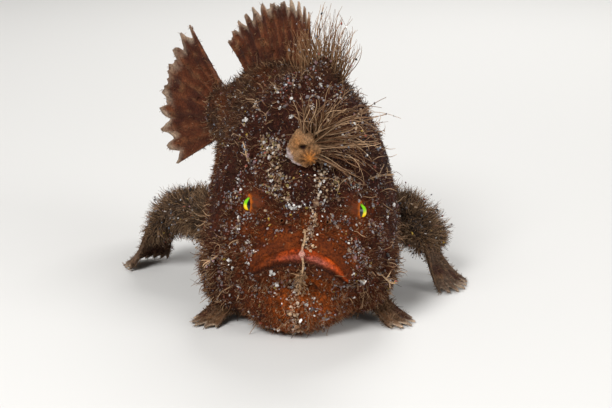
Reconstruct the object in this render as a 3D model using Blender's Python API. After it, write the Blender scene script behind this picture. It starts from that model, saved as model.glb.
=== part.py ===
"""A frogfish as a still, life-size display model, in metres with +Z up.

The fish faces -Y and sits on the floor, Z = 0, on its belly, pelvic fins and pectoral fins.
The origin is on the flat of the belly. Every piece is modelled on a straight, level fish, and
posed() then leans the head a little and swings the tail to the fish's right, as one smooth warp.
"""

import math
import random

import bmesh
import bpy
import numpy as np
from mathutils import Matrix, Vector
from mathutils.bvhtree import BVHTree

MM = 0.001

# Driving dimensions
BODY_LENGTH = 68 * MM  # lips to the root of the tail fin
BODY_DEPTH = 39 * MM  # belly to back
BODY_WIDTH = 33 * MM  # across the gill covers
SNOUT_Y = -32.5 * MM
GAP = 0.3 * MM  # between nodes that touch
SEED = 7
MERGE = 4e-7  # points closer than this after a union are one point

# The pose: a lean of the head about the belly, and a swing of the tail in plan
LEAN = math.radians(4.0)
LEAN_FROM, LEAN_FULL = 2 * MM, 14 * MM
LEAN_FADE_Y, LEAN_FADE_LENGTH = -4 * MM, 26 * MM
SWING_FROM_Y = -10 * MM
SWING_PER_METRE = math.radians(48) / (50 * MM)
SWING_MOST = math.radians(52)

# Sections from snout to tail: station (of BODY_LENGTH), bottom and top (of BODY_DEPTH),
# half width (of BODY_WIDTH), height of the widest place (of the section), fullness of its sides
SECTIONS = (
    (0.000, 0.310, 0.335, 0.015, 0.50, 0.50),
    (0.007, 0.220, 0.415, 0.160, 0.50, 0.50),
    (0.030, 0.140, 0.500, 0.275, 0.46, 0.55),
    (0.074, 0.075, 0.610, 0.365, 0.41, 0.72),
    (0.140, 0.030, 0.770, 0.435, 0.36, 0.82),
    (0.228, -0.005, 0.905, 0.480, 0.34, 0.62),
    (0.330, -0.020, 0.975, 0.500, 0.34, 0.44),
    (0.450, -0.020, 0.990, 0.485, 0.36, 0.42),
    (0.566, 0.030, 0.985, 0.430, 0.40, 0.44),
    (0.670, 0.155, 0.960, 0.350, 0.44, 0.48),
    (0.765, 0.300, 0.915, 0.250, 0.47, 0.52),
    (0.845, 0.415, 0.860, 0.170, 0.50, 0.55),
    (0.920, 0.485, 0.795, 0.125, 0.50, 0.55),
    (0.980, 0.500, 0.765, 0.090, 0.50, 0.55),
    (1.000, 0.610, 0.640, 0.015, 0.50, 0.55),
)
STATIONS_PER_ROW = 5
RING_POINTS = 48

# The mouth, an arch seen from the front
MOUTH_TOP = 14.4 * MM
MOUTH_CORNER_X = 7.8 * MM
MOUTH_DROP_RIGHT, MOUTH_DROP_LEFT = 2.9 * MM, 3.8 * MM
MOUTH_BEND = 2.2
# Rolls along it: name, height above the line, radius, how far they stand proud, reach past the corner
LIP_ROLLS = (
    ("snout_fold", 3.4 * MM, 1.5 * MM, 0.05 * MM, 1.16),
    ("upper_lip", 1.05 * MM, 1.10 * MM, 0.80 * MM, 1.06),
    ("lower_lip", -1.6 * MM, 1.50 * MM, 1.20 * MM, 1.02),
)

# Rounded masses laid on the head, in millimetres: centre (on both sides where x isn't 0), radii
FACE_MASSES = (
    ((0, -25.4, 6.2), (9.6, 7.0, 6.4)),  # chin
    ((0, -24.2, 17.6), (4.6, 5.6, 5.4)),  # snout
    ((0, -9.4, 33.2), (8.2, 9.0, 6.6)),  # nape
    ((10.2, -17.6, 9.6), (6.2, 9.8, 8.8)),  # cheek
    ((7.0, -22.2, 20.4), (2.7, 3.8, 3.8)),  # eye mound
)

# Eyes and nostrils
EYE_X, EYE_Y, EYE_Z = 7.9 * MM, -24.1 * MM, 20.1 * MM
EYE_RADIUS = 1.75 * MM
# The fleshy rim round each eye: its axis on the left side, distance out, radius and thickness
EYE_AXIS = (0.90, -0.42, 0.12)
RIM_OUT, RIM_RADIUS, RIM_THICK = 1.15 * MM, 2.05 * MM, 0.56 * MM
RIM_STEPS, RIM_SIDES = 16, 5
NOSTRIL_X, NOSTRIL_Z = 3.3 * MM, 19.3 * MM

# The thin cuts between the parts of the body
NECK_POINT, NECK_NORMAL = (0, -7 * MM, 19 * MM), (0, 1, -0.25)
TAIL_POINT, TAIL_NORMAL = (0, 25 * MM, 25 * MM), (0, 1, 0.25)
JAW_FOOT_X = 8.8 * MM
JAW_BACK_Y = -23 * MM

# Fins: rays, where they start and end along the body, and how far they reach
ROOT_DEPTH = 1.6 * MM
FIN_ROWS, FIN_STEPS = 5, 3  # rows of triangles along a ray, columns from ray to ray
WEB_SHARE = 0.5  # thickness of the web, of the rays'
DORSAL_RAYS, DORSAL_START_Y, DORSAL_END_Y, DORSAL_HEIGHT = 12, -0.5 * MM, 22.5 * MM, 11.0 * MM
ANAL_RAYS, ANAL_START_Y, ANAL_END_Y, ANAL_HEIGHT = 7, 13 * MM, 23 * MM, 8.2 * MM
TAIL_RAYS, TAIL_FIN_Y, TAIL_FIN_Z = 9, 31.5 * MM, 24.8 * MM
TAIL_FIN_HALF_ROOT, TAIL_FIN_LENGTH = 3.9 * MM, 18.5 * MM
PECTORAL_RAYS, PELVIC_RAYS = 10, 5

# Routes on the left side, in millimetres: shoulder to wrist, and throat to ankle
TIP_HEIGHT = 0.12 * MM  # middle of a ray's tip; what is below the floor is cut off
ARM_ROUTE = ((10.5, 3.5, 9.8), (17.2, 3.0, 11.2), (22.8, 1.0, 10.6), (26.0, -1.4, 6.9))
ARM_RADII = (5.5 * MM, 4.8 * MM, 3.9 * MM)
ARM_FLATS = (0.80, 0.74, 0.40)  # thickness, of the width
ARM_TURNS = {"left": math.radians(-8), "right": math.radians(-44)}
LEG_ROUTE = ((5.0, -12.5, 3.6), (9.4, -17.2, 4.4), (12.6, -20.6, 2.9))
LEG_SHIFTS = {"left": 2.8 * MM, "right": 1.2 * MM}  # of each ankle, to the fish's left
HAND_REACH = {"left": 6.4 * MM, "right": 5.4 * MM}

# The dorsal spines on the head, in millimetres, and their threads
SPINE_2_ROUTE = ((-0.2, -18.0, 24.5), (-0.3, -22.2, 27.2), (-0.7, -24.8, 29.4))
BULB_AT, BULB_RADII = (-0.7 * MM, -25.4 * MM, 30.3 * MM), (3.0 * MM, 1.9 * MM, 3.2 * MM)
SPINE_3_ROUTE = ((0.3, -12.5, 35.0), (1.0, -10.6, 38.5), (1.8, -8.6, 41.0))
SPINE_2_THREADS, SPINE_3_THREADS = 33, 33
THREAD_WIDTH = 0.62 * MM
LURE_ROOT_Z, LURE_END_Z = 18.6 * MM, 9.4 * MM

# Skin threads, and the tubes of nostrils and gill openings as (radius, height) shares
LOCK_WIDTH, LOCK_SPACING = 0.9 * MM, 3.4 * MM
PORE_PROFILE = ((1.0, -1.2), (1.0, 0.5), (0.86, 0.9), (0.66, 1.0), (0.5, 0.8), (0.4, 0.1))
GILL_PORE = (40, 9.5, 6.5)
# Longer threads of the head, in millimetres: root x and z, direction, length
TENDRILS = (
    (-9.4, 25.5, (-0.3, -0.4, 1.0), 4.6),
    (10.0, 24.5, (1.0, -0.5, 0.35), 4.6),
    (-13.2, 12.0, (-0.8, -0.8, -0.5), 3.6),
    (13.0, 10.5, (0.9, -0.7, -0.3), 3.2),
)

# Linear colour and roughness by the start of a node's name
COLOURS = {
    "head": ((0.16, 0.045, 0.020), 0.62),
    "lower_jaw": ((0.30, 0.095, 0.022), 0.58),
    "torso": ((0.13, 0.055, 0.030), 0.66),
    "tail": ((0.13, 0.055, 0.030), 0.66),
    "pectoral_arm": ((0.17, 0.10, 0.065), 0.68),
    "pectoral_fin": ((0.24, 0.15, 0.095), 0.60),
    "pelvic_fin": ((0.30, 0.20, 0.13), 0.60),
    "caudal_fin": ((0.22, 0.10, 0.055), 0.60),
    "soft_dorsal_fin": ((0.22, 0.10, 0.055), 0.60),
    "anal_fin": ((0.22, 0.10, 0.055), 0.60),
    "illicium": ((0.50, 0.36, 0.24), 0.55),
    "second_dorsal_spine": ((0.36, 0.19, 0.085), 0.55),
    "third_dorsal_spine": ((0.28, 0.17, 0.10), 0.60),
    "eye": ((0.42, 0.62, 0.02), 0.08),
}
SHARP_ANGLE = math.radians(50)

# The flesh's triangles in the solids
VOXEL = 0.6 * MM
SMOOTHING = 6
FLESH_SHARE = 0.060


def clear_scene():
    for obj in list(bpy.data.objects):
        bpy.data.objects.remove(obj, do_unlink=True)


def smoothstep(value):
    t = np.clip(value, 0.0, 1.0)
    return t * t * (3 - 2 * t)


def through(rows, at):
    """Columns of rows read at fractional row numbers, on a smooth curve through the rows."""
    rows = np.array(rows, float)
    last = len(rows) - 1
    base = np.clip(np.floor(at).astype(int), 0, last - 1)
    t = (at - base)[:, None]
    before, start = rows[np.maximum(base - 1, 0)], rows[base]
    end, after = rows[base + 1], rows[np.minimum(base + 2, last)]
    slope_start, slope_end = (end - before) / 2, (after - start) / 2
    return (
        start * (2 * t**3 - 3 * t**2 + 1)
        + slope_start * (t**3 - 2 * t**2 + t)
        + end * (3 * t**2 - 2 * t**3)
        + slope_end * (t**3 - t**2)
    )


def body_rings():
    """Rings of the body's skin, snout to tail, on the straight fish."""
    at = np.linspace(0, len(SECTIONS) - 1, (len(SECTIONS) - 1) * STATIONS_PER_ROW + 1)
    angles = np.linspace(0, 2 * math.pi, RING_POINTS, endpoint=False)
    share = (1 - np.cos(angles)) / 2
    rings = []
    for station, bottom, top, half, widest, fullness in through(SECTIONS, at):
        skew = math.log(0.5) / math.log(widest)
        side = np.sin(math.pi * share**skew).clip(0, 1) ** fullness
        x = np.sign(np.sin(angles)) * side * max(half, 0.01) * BODY_WIDTH
        z = (bottom + share * (top - bottom)) * BODY_DEPTH
        y = np.full_like(x, SNOUT_Y + station * BODY_LENGTH)
        rings.append(np.stack([x, y, z], axis=1))
    return rings


def back_height(y):
    """Height of the back's midline at y."""
    table = np.array(SECTIONS)
    return float(np.interp((y - SNOUT_Y) / BODY_LENGTH, table[:, 0], table[:, 2])) * BODY_DEPTH


def belly_height(y):
    """Height of the belly's midline at y."""
    table = np.array(SECTIONS)
    return float(np.interp((y - SNOUT_Y) / BODY_LENGTH, table[:, 0], table[:, 1])) * BODY_DEPTH


def posed(points):
    """Points of the straight fish, moved to the pose."""
    p = np.array(points, float).reshape(-1, 3)
    lean = LEAN * smoothstep((p[:, 2] - LEAN_FROM) / (LEAN_FULL - LEAN_FROM))
    lean = lean * (1 - smoothstep((p[:, 1] - LEAN_FADE_Y) / LEAN_FADE_LENGTH))
    x = p[:, 0] * np.cos(lean) + p[:, 2] * np.sin(lean)
    z = p[:, 2] * np.cos(lean) - p[:, 0] * np.sin(lean)
    line_y = np.linspace(-60 * MM, 80 * MM, 561)
    heading = np.clip((line_y - SWING_FROM_Y) * SWING_PER_METRE, 0, SWING_MOST)
    step = line_y[1] - line_y[0]
    centre_x = -np.cumsum(np.sin(heading)) * step
    centre_y = np.cumsum(np.cos(heading)) * step
    centre_y += np.interp(0.0, line_y, line_y - centre_y)
    centre_x -= np.interp(0.0, line_y, centre_x)
    turn = np.interp(p[:, 1], line_y, heading)
    out = np.empty_like(p)
    out[:, 0] = np.interp(p[:, 1], line_y, centre_x) + x * np.cos(turn)
    out[:, 1] = np.interp(p[:, 1], line_y, centre_y) + x * np.sin(turn)
    out[:, 2] = z
    return out


def new_object(name, points, faces):
    mesh = bpy.data.meshes.new(name)
    mesh.from_pydata([tuple(map(float, p)) for p in points], [], faces)
    obj = bpy.data.objects.new(name, mesh)
    bpy.context.scene.collection.objects.link(obj)
    return obj


def loft(name, rings):
    """A closed surface through rings of equal length, its ends closed by fans of triangles."""
    count = len(rings[0])
    points = [p for ring in rings for p in ring]
    faces = []
    for i in range(len(rings) - 1):
        for j in range(count):
            k = (j + 1) % count
            a, b = i * count + j, i * count + k
            faces.append((a, b, b + count, a + count))
    first, last = len(points), len(points) + 1
    points += [np.mean(rings[0], axis=0), np.mean(rings[-1], axis=0)]
    end = (len(rings) - 1) * count
    for j in range(count):
        k = (j + 1) % count
        faces.append((first, k, j))
        faces.append((last, end + j, end + k))
    return face_out(new_object(name, points, faces))


def face_out(obj):
    """Turns the faces of a closed mesh outwards."""
    work = bmesh.new()
    work.from_mesh(obj.data)
    bmesh.ops.recalc_face_normals(work, faces=work.faces)
    if work.calc_volume(signed=True) < 0:
        bmesh.ops.reverse_faces(work, faces=work.faces)
    work.to_mesh(obj.data)
    work.free()
    return obj


def ellipsoid(name, centre, radii, turn=None, detail=3):
    work = bmesh.new()
    matrix = Matrix.Translation(centre) @ (turn or Matrix.Identity(4)) @ Matrix.Diagonal((*radii, 1))
    bmesh.ops.create_icosphere(work, subdivisions=detail, radius=1, matrix=matrix)
    mesh = bpy.data.meshes.new(name)
    work.to_mesh(mesh)
    work.free()
    obj = bpy.data.objects.new(name, mesh)
    bpy.context.scene.collection.objects.link(obj)
    return obj


def frames_along(path):
    """A tangent and two cross directions at each point of a path, without twist."""
    tangents = np.gradient(path, axis=0)
    tangents /= np.linalg.norm(tangents, axis=1)[:, None]
    side = np.cross(tangents[0], (0.0, 0.0, 1.0))
    if np.linalg.norm(side) < 0.1:
        side = np.cross(tangents[0], (0.0, 1.0, 0.0))
    frames = []
    for tangent in tangents:
        side = side - tangent * np.dot(side, tangent)
        side = side / np.linalg.norm(side)
        frames.append((tangent, side, np.cross(tangent, side)))
    return frames


def tube(name, path, widths, sides, flats=None):
    """A closed tube along path, widths[i] in radius there and flats[i] times that in thickness."""
    path = np.array(path, float)
    flats = np.ones(len(path)) if flats is None else flats
    rings = []
    angles = np.linspace(0, 2 * math.pi, sides, endpoint=False)
    for point, radius, flat, (_, side, up) in zip(path, widths, flats, frames_along(path)):
        ring = [point + radius * (math.cos(a) * side + flat * math.sin(a) * up) for a in angles]
        rings.append(ring)
    return loft(name, rings)


def curved(points, count):
    """count points on a smooth curve through a few."""
    return through(points, np.linspace(0, len(points) - 1, count))


def applied(obj):
    """Applies every modifier of obj."""
    graph = bpy.context.evaluated_depsgraph_get()
    mesh = bpy.data.meshes.new_from_object(obj.evaluated_get(graph))
    obj.modifiers.clear()
    obj.data = mesh
    return obj


def boolean(obj, others, operation, solver="MANIFOLD"):
    """obj joined with, cut by or kept inside others, which are removed."""
    group = bpy.data.collections.new("operands")
    bpy.context.scene.collection.children.link(group)
    for other in others:
        group.objects.link(other)
    modifier = obj.modifiers.new(operation, "BOOLEAN")
    modifier.operation = operation
    modifier.operand_type = "COLLECTION"
    modifier.collection = group
    modifier.solver = solver
    applied(obj)
    for other in others:
        bpy.data.objects.remove(other, do_unlink=True)
    bpy.data.collections.remove(group)
    return obj


def largest_surface(obj):
    """Keeps the largest closed surface of obj."""
    work = bmesh.new()
    work.from_mesh(obj.data)
    bmesh.ops.remove_doubles(work, verts=work.verts, dist=MERGE)
    bmesh.ops.dissolve_degenerate(work, edges=work.edges, dist=MERGE)
    islands, seen = [], set()
    for start in work.verts:
        if start in seen:
            continue
        seen.add(start)
        island, edge = [start], [start]
        while edge:
            vert = edge.pop()
            for link in vert.link_edges:
                other = link.other_vert(vert)
                if other not in seen:
                    seen.add(other)
                    island.append(other)
                    edge.append(other)
        islands.append(island)
    islands.sort(key=len)
    for island in islands[:-1]:
        bmesh.ops.delete(work, geom=island, context="VERTS")
    bmesh.ops.triangulate(work, faces=work.faces)
    work.to_mesh(obj.data)
    work.free()
    return obj


def copy_of(obj, name):
    twin = bpy.data.objects.new(name, obj.data.copy())
    bpy.context.scene.collection.objects.link(twin)
    return twin


def clear_of(obj, *parents):
    """Cuts obj back to a gap away from the parts it grows from."""
    rooms = []
    for parent in parents:
        room = copy_of(parent, "room")
        points = [v.co + v.normal * GAP for v in room.data.vertices]
        for vert, point in zip(room.data.vertices, points):
            vert.co = point
        rooms.append(room)
    return boolean(obj, rooms, "DIFFERENCE")


def box(name, low, high):
    work = bmesh.new()
    size = [b - a for a, b in zip(low, high)]
    centre = [(a + b) / 2 for a, b in zip(low, high)]
    matrix = Matrix.Translation(centre) @ Matrix.Diagonal((*size, 1))
    bmesh.ops.create_cube(work, size=1, matrix=matrix)
    mesh = bpy.data.meshes.new(name)
    work.to_mesh(mesh)
    work.free()
    obj = bpy.data.objects.new(name, mesh)
    bpy.context.scene.collection.objects.link(obj)
    return obj


def cut_flat(obj, point, normal):
    """Cuts off what lies beyond a plane, on the side its normal points to, and closes the cut."""
    work = bmesh.new()
    work.from_mesh(obj.data)
    geometry = list(work.verts) + list(work.edges) + list(work.faces)
    cut = bmesh.ops.bisect_plane(work, geom=geometry, plane_co=point, plane_no=normal, clear_outer=True)
    edges = [e for e in cut["geom_cut"] if isinstance(e, bmesh.types.BMEdge)]
    bmesh.ops.edgenet_fill(work, edges=edges)
    bmesh.ops.triangulate(work, faces=work.faces)
    work.to_mesh(obj.data)
    work.free()
    return face_out(obj)


def mouth_line(x):
    """Height of the mouth's line at x, seen from the front: its right corner is the higher one."""
    drop = MOUTH_DROP_LEFT if x > 0 else MOUTH_DROP_RIGHT
    return MOUTH_TOP - drop * abs(x / MOUTH_CORNER_X) ** MOUTH_BEND


class Surface:
    """Finds points on a mesh by casting rays at it."""

    def __init__(self, obj):
        points = [v.co.copy() for v in obj.data.vertices]
        faces = [tuple(p.vertices) for p in obj.data.polygons]
        self.tree = BVHTree.FromPolygons(points, faces)

    def hit(self, start, towards):
        place, normal, _, _ = self.tree.ray_cast(Vector(start), Vector(towards).normalized())
        return place, normal

    def front(self, x, z):
        return self.hit((x, -0.2, z), (0, 1, 0))


def face_forms(skin):
    """The forms that are laid on the body: lips, chin, cheeks, eye mounds, snout and nape."""
    forms = []
    for name, above, radius, proud, reach in LIP_ROLLS:
        route = []
        for share in np.linspace(-reach, reach, 9):
            x = share * MOUTH_CORNER_X
            z = mouth_line(x) + above * (1 - 0.35 * share**2)
            place, _ = skin.front(x, z)
            route.append((x, place.y + radius * 0.45 - proud, z))
        path = curved(route, 33)
        widths = [radius * (1 - 0.55 * abs(s) ** 3) for s in np.linspace(-1, 1, len(path))]
        forms.append(tube(name, path, widths, 16))
    for centre, radii in FACE_MASSES:
        for side in (-1, 1) if centre[0] else (1,):
            place = Vector((side * centre[0], *centre[1:])) * MM
            forms.append(ellipsoid("mass", place, Vector(radii) * MM))
    return forms


def joined(name, pieces):
    """One object of several meshes, which may cross one another."""
    work = bmesh.new()
    for piece in pieces:
        work.from_mesh(piece.data)
        bpy.data.objects.remove(piece, do_unlink=True)
    mesh = bpy.data.meshes.new(name)
    work.to_mesh(mesh)
    work.free()
    obj = bpy.data.objects.new(name, mesh)
    bpy.context.scene.collection.objects.link(obj)
    return obj


def melted(obj, voxel, smoothing, share):
    """Crossing forms made one smooth surface."""
    remesh = obj.modifiers.new("Remesh", "REMESH")
    remesh.mode = "VOXEL"
    remesh.voxel_size = voxel
    smooth = obj.modifiers.new("Smooth", "SMOOTH")
    smooth.factor = 0.5
    smooth.iterations = smoothing
    fewer = obj.modifiers.new("Decimate", "DECIMATE")
    fewer.ratio = share
    return applied(obj)


def whole_flesh():
    """The head, trunk and tail as one surface, cut off flat at the floor."""
    body = loft("body", body_rings())
    forms = face_forms(Surface(body))
    flesh = melted(joined("flesh", [body, *forms]), VOXEL, SMOOTHING, FLESH_SHARE)
    return cut_flat(flesh, (0, 0, 0), (0, 0, -1))


def jaw_block(name, grow):
    """The space of the lower jaw: below the mouth's line, in front of the throat."""
    corner = MOUTH_CORNER_X + grow
    arch = [(x, mouth_line(x) + grow) for x in np.linspace(corner, -corner, 33)]
    outline = [(-JAW_FOOT_X - grow, -5 * MM), (JAW_FOOT_X + grow, -5 * MM), *arch]
    rings = [[(x, y, z) for x, z in outline] for y in (-60 * MM, JAW_BACK_Y + grow)]
    return loft(name, rings)


def parted(flesh):
    """The flesh as head, lower jaw, trunk and tail, with a gap between each two."""
    parts = {}
    for name, planes in (
        ("head", [(NECK_POINT, NECK_NORMAL, 1)]),
        ("torso", [(NECK_POINT, NECK_NORMAL, -1), (TAIL_POINT, TAIL_NORMAL, 1)]),
        ("tail", [(TAIL_POINT, TAIL_NORMAL, -1)]),
    ):
        piece = copy_of(flesh, name)
        for point, normal, side in planes:
            facing = Vector(normal).normalized() * side
            cut_flat(piece, Vector(point) - facing * GAP / 2, facing)
        parts[name] = piece
    jaw = boolean(copy_of(parts["head"], "lower_jaw"), [jaw_block("jaw_space", 0)], "INTERSECT")
    boolean(parts["head"], [jaw_block("jaw_room", GAP)], "DIFFERENCE")
    parts["lower_jaw"] = jaw
    bpy.data.objects.remove(flesh, do_unlink=True)
    return parts


def eye_rim(side):
    """The ring of skin that stands round an eye."""
    turn = Vector((side * EYE_AXIS[0], *EYE_AXIS[1:])).to_track_quat("Z", "Y").to_matrix()
    centre = Vector((side * EYE_X, EYE_Y, EYE_Z))
    points = []
    for around in np.linspace(0, 2 * math.pi, RIM_STEPS, endpoint=False):
        for a in np.linspace(0, 2 * math.pi, RIM_SIDES, endpoint=False):
            reach = RIM_RADIUS + RIM_THICK * math.cos(a)
            up = RIM_OUT + RIM_THICK * math.sin(a)
            points.append(centre + turn @ Vector((reach * math.cos(around), reach * math.sin(around), up)))
    faces = []
    for i in range(RIM_STEPS):
        for j in range(RIM_SIDES):
            a, b = i * RIM_SIDES, (i + 1) % RIM_STEPS * RIM_SIDES
            k = (j + 1) % RIM_SIDES
            faces.append((a + j, a + k, b + k, b + j))
    return face_out(new_object("rim", points, faces))


def eyes(head):
    """Both eyes, the rims round them, and their sockets in the head."""
    made = []
    boolean(head, [eye_rim(-1), eye_rim(1)], "UNION")
    for side, name in ((-1, "eye_right"), (1, "eye_left")):
        centre = (side * EYE_X, EYE_Y, EYE_Z)
        made.append(ellipsoid(name, centre, (EYE_RADIUS,) * 3, detail=3))
        socket = ellipsoid("socket", centre, (EYE_RADIUS + GAP,) * 3, detail=3)
        boolean(head, [socket], "DIFFERENCE")
    return made


def fin_sheet(name, roots, tips, mids, notch, root_thick, tip_thick):
    """A fin: a curved web between rays, which stand out of it as ridges and end in free tips.

    roots, mids and tips hold one point for each ray. Both faces have the same triangles.
    """
    rows = FIN_ROWS
    at = np.linspace(0, len(roots) - 1, (len(roots) - 1) * FIN_STEPS + 1)
    root, mid, tip = (through(points, at) for points in (roots, mids, tips))
    between = 0.5 - 0.5 * np.cos(2 * math.pi * at)
    ridge = (1 - between) ** 2
    along = np.linspace(0, 1, rows + 1)
    grid = np.empty((rows + 1, len(at), 3))
    for i, t in enumerate(along):
        reach = (t * (1 - notch * between))[:, None]
        grid[i] = root * (1 - reach) ** 2 + 2 * mid * reach * (1 - reach) + tip * reach**2
    across = np.gradient(grid, axis=1)
    down = np.gradient(grid, axis=0)
    normal = np.cross(down, across)
    normal /= np.linalg.norm(normal, axis=2)[:, :, None]
    thick = root_thick + (tip_thick - root_thick) * along[:, None]
    thick = thick * (WEB_SHARE + (1 - WEB_SHARE) * ridge[None, :])
    front = grid + normal * thick[:, :, None] / 2
    back = grid - normal * thick[:, :, None] / 2
    columns = len(at)
    points = list(front.reshape(-1, 3)) + list(back.reshape(-1, 3))
    shift = (rows + 1) * columns
    faces = []
    for i in range(rows):
        for j in range(columns - 1):
            a = i * columns + j
            b, c, d = a + 1, a + columns + 1, a + columns
            faces += [(a, b, c), (a, c, d)]
            faces += [(shift + a, shift + c, shift + b), (shift + a, shift + d, shift + c)]
    rim = [j for j in range(columns)]
    rim += [i * columns + columns - 1 for i in range(1, rows + 1)]
    rim += [rows * columns + j for j in range(columns - 2, -1, -1)]
    rim += [i * columns for i in range(rows - 1, 0, -1)]
    for a, b in zip(rim, rim[1:] + rim[:1]):
        faces += [(a, shift + a, shift + b), (a, shift + b, b)]
    return face_out(new_object(name, points, faces))


def bent(root, tip, lift):
    """The middle control point of a ray's bend."""
    return [(r + t) / 2 + l for r, t, l in zip(root, tip, lift)]


def dorsal_fin():
    """The soft dorsal fin: twelve rays that lean back more and more."""
    roots, tips, mids = [], [], []
    for share in np.linspace(0, 1, DORSAL_RAYS):
        y = DORSAL_START_Y + share * (DORSAL_END_Y - DORSAL_START_Y)
        root = np.array((0, y, back_height(y) - ROOT_DEPTH))
        tilt = math.radians(6 + 44 * share)
        rise = 0.70 + 0.42 * math.sin(math.pi * (0.12 + 0.74 * share)) - 0.12 * share
        length = ROOT_DEPTH + DORSAL_HEIGHT * rise
        wave = 0.7 * MM * math.sin(5 * share)
        tip = root + np.array((wave, length * math.sin(tilt), length * math.cos(tilt)))
        roots.append(root)
        tips.append(tip)
        mids.append(bent(root, tip, (0, -0.6 * MM, 0.5 * MM)))
    return fin_sheet("soft_dorsal_fin", roots, tips, mids, 0.12, 1.5 * MM, 0.62 * MM)


def anal_fin():
    """The anal fin: seven rays, trailing so that they clear the floor."""
    roots, tips, mids = [], [], []
    for share in np.linspace(0, 1, ANAL_RAYS):
        y = ANAL_START_Y + share * (ANAL_END_Y - ANAL_START_Y)
        root = np.array((0, y, belly_height(y) + ROOT_DEPTH))
        drop = math.radians(60 - 36 * share)
        length = ROOT_DEPTH + ANAL_HEIGHT * (0.78 + 0.22 * math.sin(math.pi * share))
        tip = root + np.array((0, length * math.cos(drop), -length * math.sin(drop)))
        roots.append(root)
        tips.append(tip)
        mids.append(bent(root, tip, (0, 0, -0.4 * MM)))
    return fin_sheet("anal_fin", roots, tips, mids, 0.14, 1.4 * MM, 0.62 * MM)


def tail_fin():
    """The tail fin: nine rays in a rounded fan."""
    roots, tips, mids = [], [], []
    for share in np.linspace(-1, 1, TAIL_RAYS):
        root = np.array((0, TAIL_FIN_Y, TAIL_FIN_Z + share * TAIL_FIN_HALF_ROOT))
        angle = math.radians(9 + 40 * share)
        length = TAIL_FIN_LENGTH * (1 - 0.13 * share**2)
        tip = root + np.array((0, length * math.cos(angle), length * math.sin(angle)))
        tip[0] = 0.8 * MM * math.sin(2.4 * share)
        roots.append(root)
        tips.append(tip)
        mids.append(bent(root, tip, (-0.8 * MM, 0, 0)))
    return fin_sheet("caudal_fin", roots, tips, mids, 0.10, 1.7 * MM, 0.62 * MM)


def hand(name, root_at, root_way, palm, heading, reach, spread, rays, thick):
    """A fin planted on the floor like a hand: its rays fan out to tips that lie on the floor.

    root_way runs across half the wrist. heading is seen from above, 0 straight ahead.
    """
    roots, tips, mids = [], [], []
    for share in np.linspace(-1, 1, rays):
        root = np.array(root_at) + np.array(root_way) * share
        turn = heading + share * spread / 2
        out = np.array((math.sin(turn), -math.cos(turn), 0))
        tip = np.array(palm) + out * reach * (1 - 0.10 * share**2)
        tip[2] = TIP_HEIGHT
        mid = root * 0.45 + tip * 0.55
        mid[2] = root[2] * 0.12
        roots.append(root)
        tips.append(tip)
        mids.append(mid)
    return fin_sheet(name, roots, tips, mids, 0.16, thick, 0.75 * MM)


def pectoral_limb(side, label):
    """An arm, and its fin planted on the floor beside the body."""
    route = [np.array((side * x, y, z)) * MM for x, y, z in ARM_ROUTE]
    path = curved(route, 11)
    widths = np.interp(np.linspace(0, 1, 11), (0, 0.45, 1), ARM_RADII)
    flats = np.interp(np.linspace(0, 1, 11), (0, 0.6, 1), ARM_FLATS)
    arm = tube("pectoral_arm_" + label, path, widths, 14, flats)
    wrist = route[-1]
    reach_in = (path[-2] - wrist) / np.linalg.norm(path[-2] - wrist)
    palm = wrist + np.array((side * 0.4, -0.6, 0)) * MM
    fin = hand(
        "pectoral_fin_" + label,
        root_at=wrist + reach_in * ROOT_DEPTH,
        root_way=np.array((0.15 * side, 3.1, 0)) * MM,
        palm=palm,
        heading=side * math.radians(90),
        reach=HAND_REACH[label],
        spread=side * math.radians(150),
        rays=PECTORAL_RAYS,
        thick=1.2 * MM,
    )
    return arm, fin


def pelvic_fin(side, label):
    """A pelvic fin: a short leg under the throat, with five rays on the floor."""
    route = [np.array((side * x, y, z)) * MM for x, y, z in LEG_ROUTE]
    for share, point in zip((0.0, 0.5, 1.0), route):
        point[0] += share * LEG_SHIFTS[label]
    path = curved(route, 9)
    leg = tube("pelvic_fin_" + label, path, np.linspace(2.6, 1.7, 9) * MM, 10)
    ankle = route[-1]
    toes = hand(
        "toes",
        root_at=ankle - (path[-1] - path[-3]) * 0.8,
        root_way=np.array((1.05, 0.92 * side, 0)) * MM,
        palm=ankle + np.array((side * 0.6, -0.6, 0)) * MM,
        heading=side * math.radians(50),
        reach=4.6 * MM,
        spread=math.radians(96),
        rays=PELVIC_RAYS,
        thick=1.3 * MM,
    )
    return boolean(leg, [toes], "UNION")


def strand(root, tip, sag, width, points=4, sides=3):
    """A thread that tapers from its root to its tip, bowed by sag on the way."""
    root, tip, sag = (np.array(v, float) for v in (root, tip, sag))
    shares = np.linspace(0, 1, points)
    path = [root + (tip - root) * s + sag * 4 * s * (1 - s) for s in shares]
    widths = [width / 2 * (1 - 0.72 * s**1.6) for s in shares]
    return tube("strand", path, widths, sides)


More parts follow.
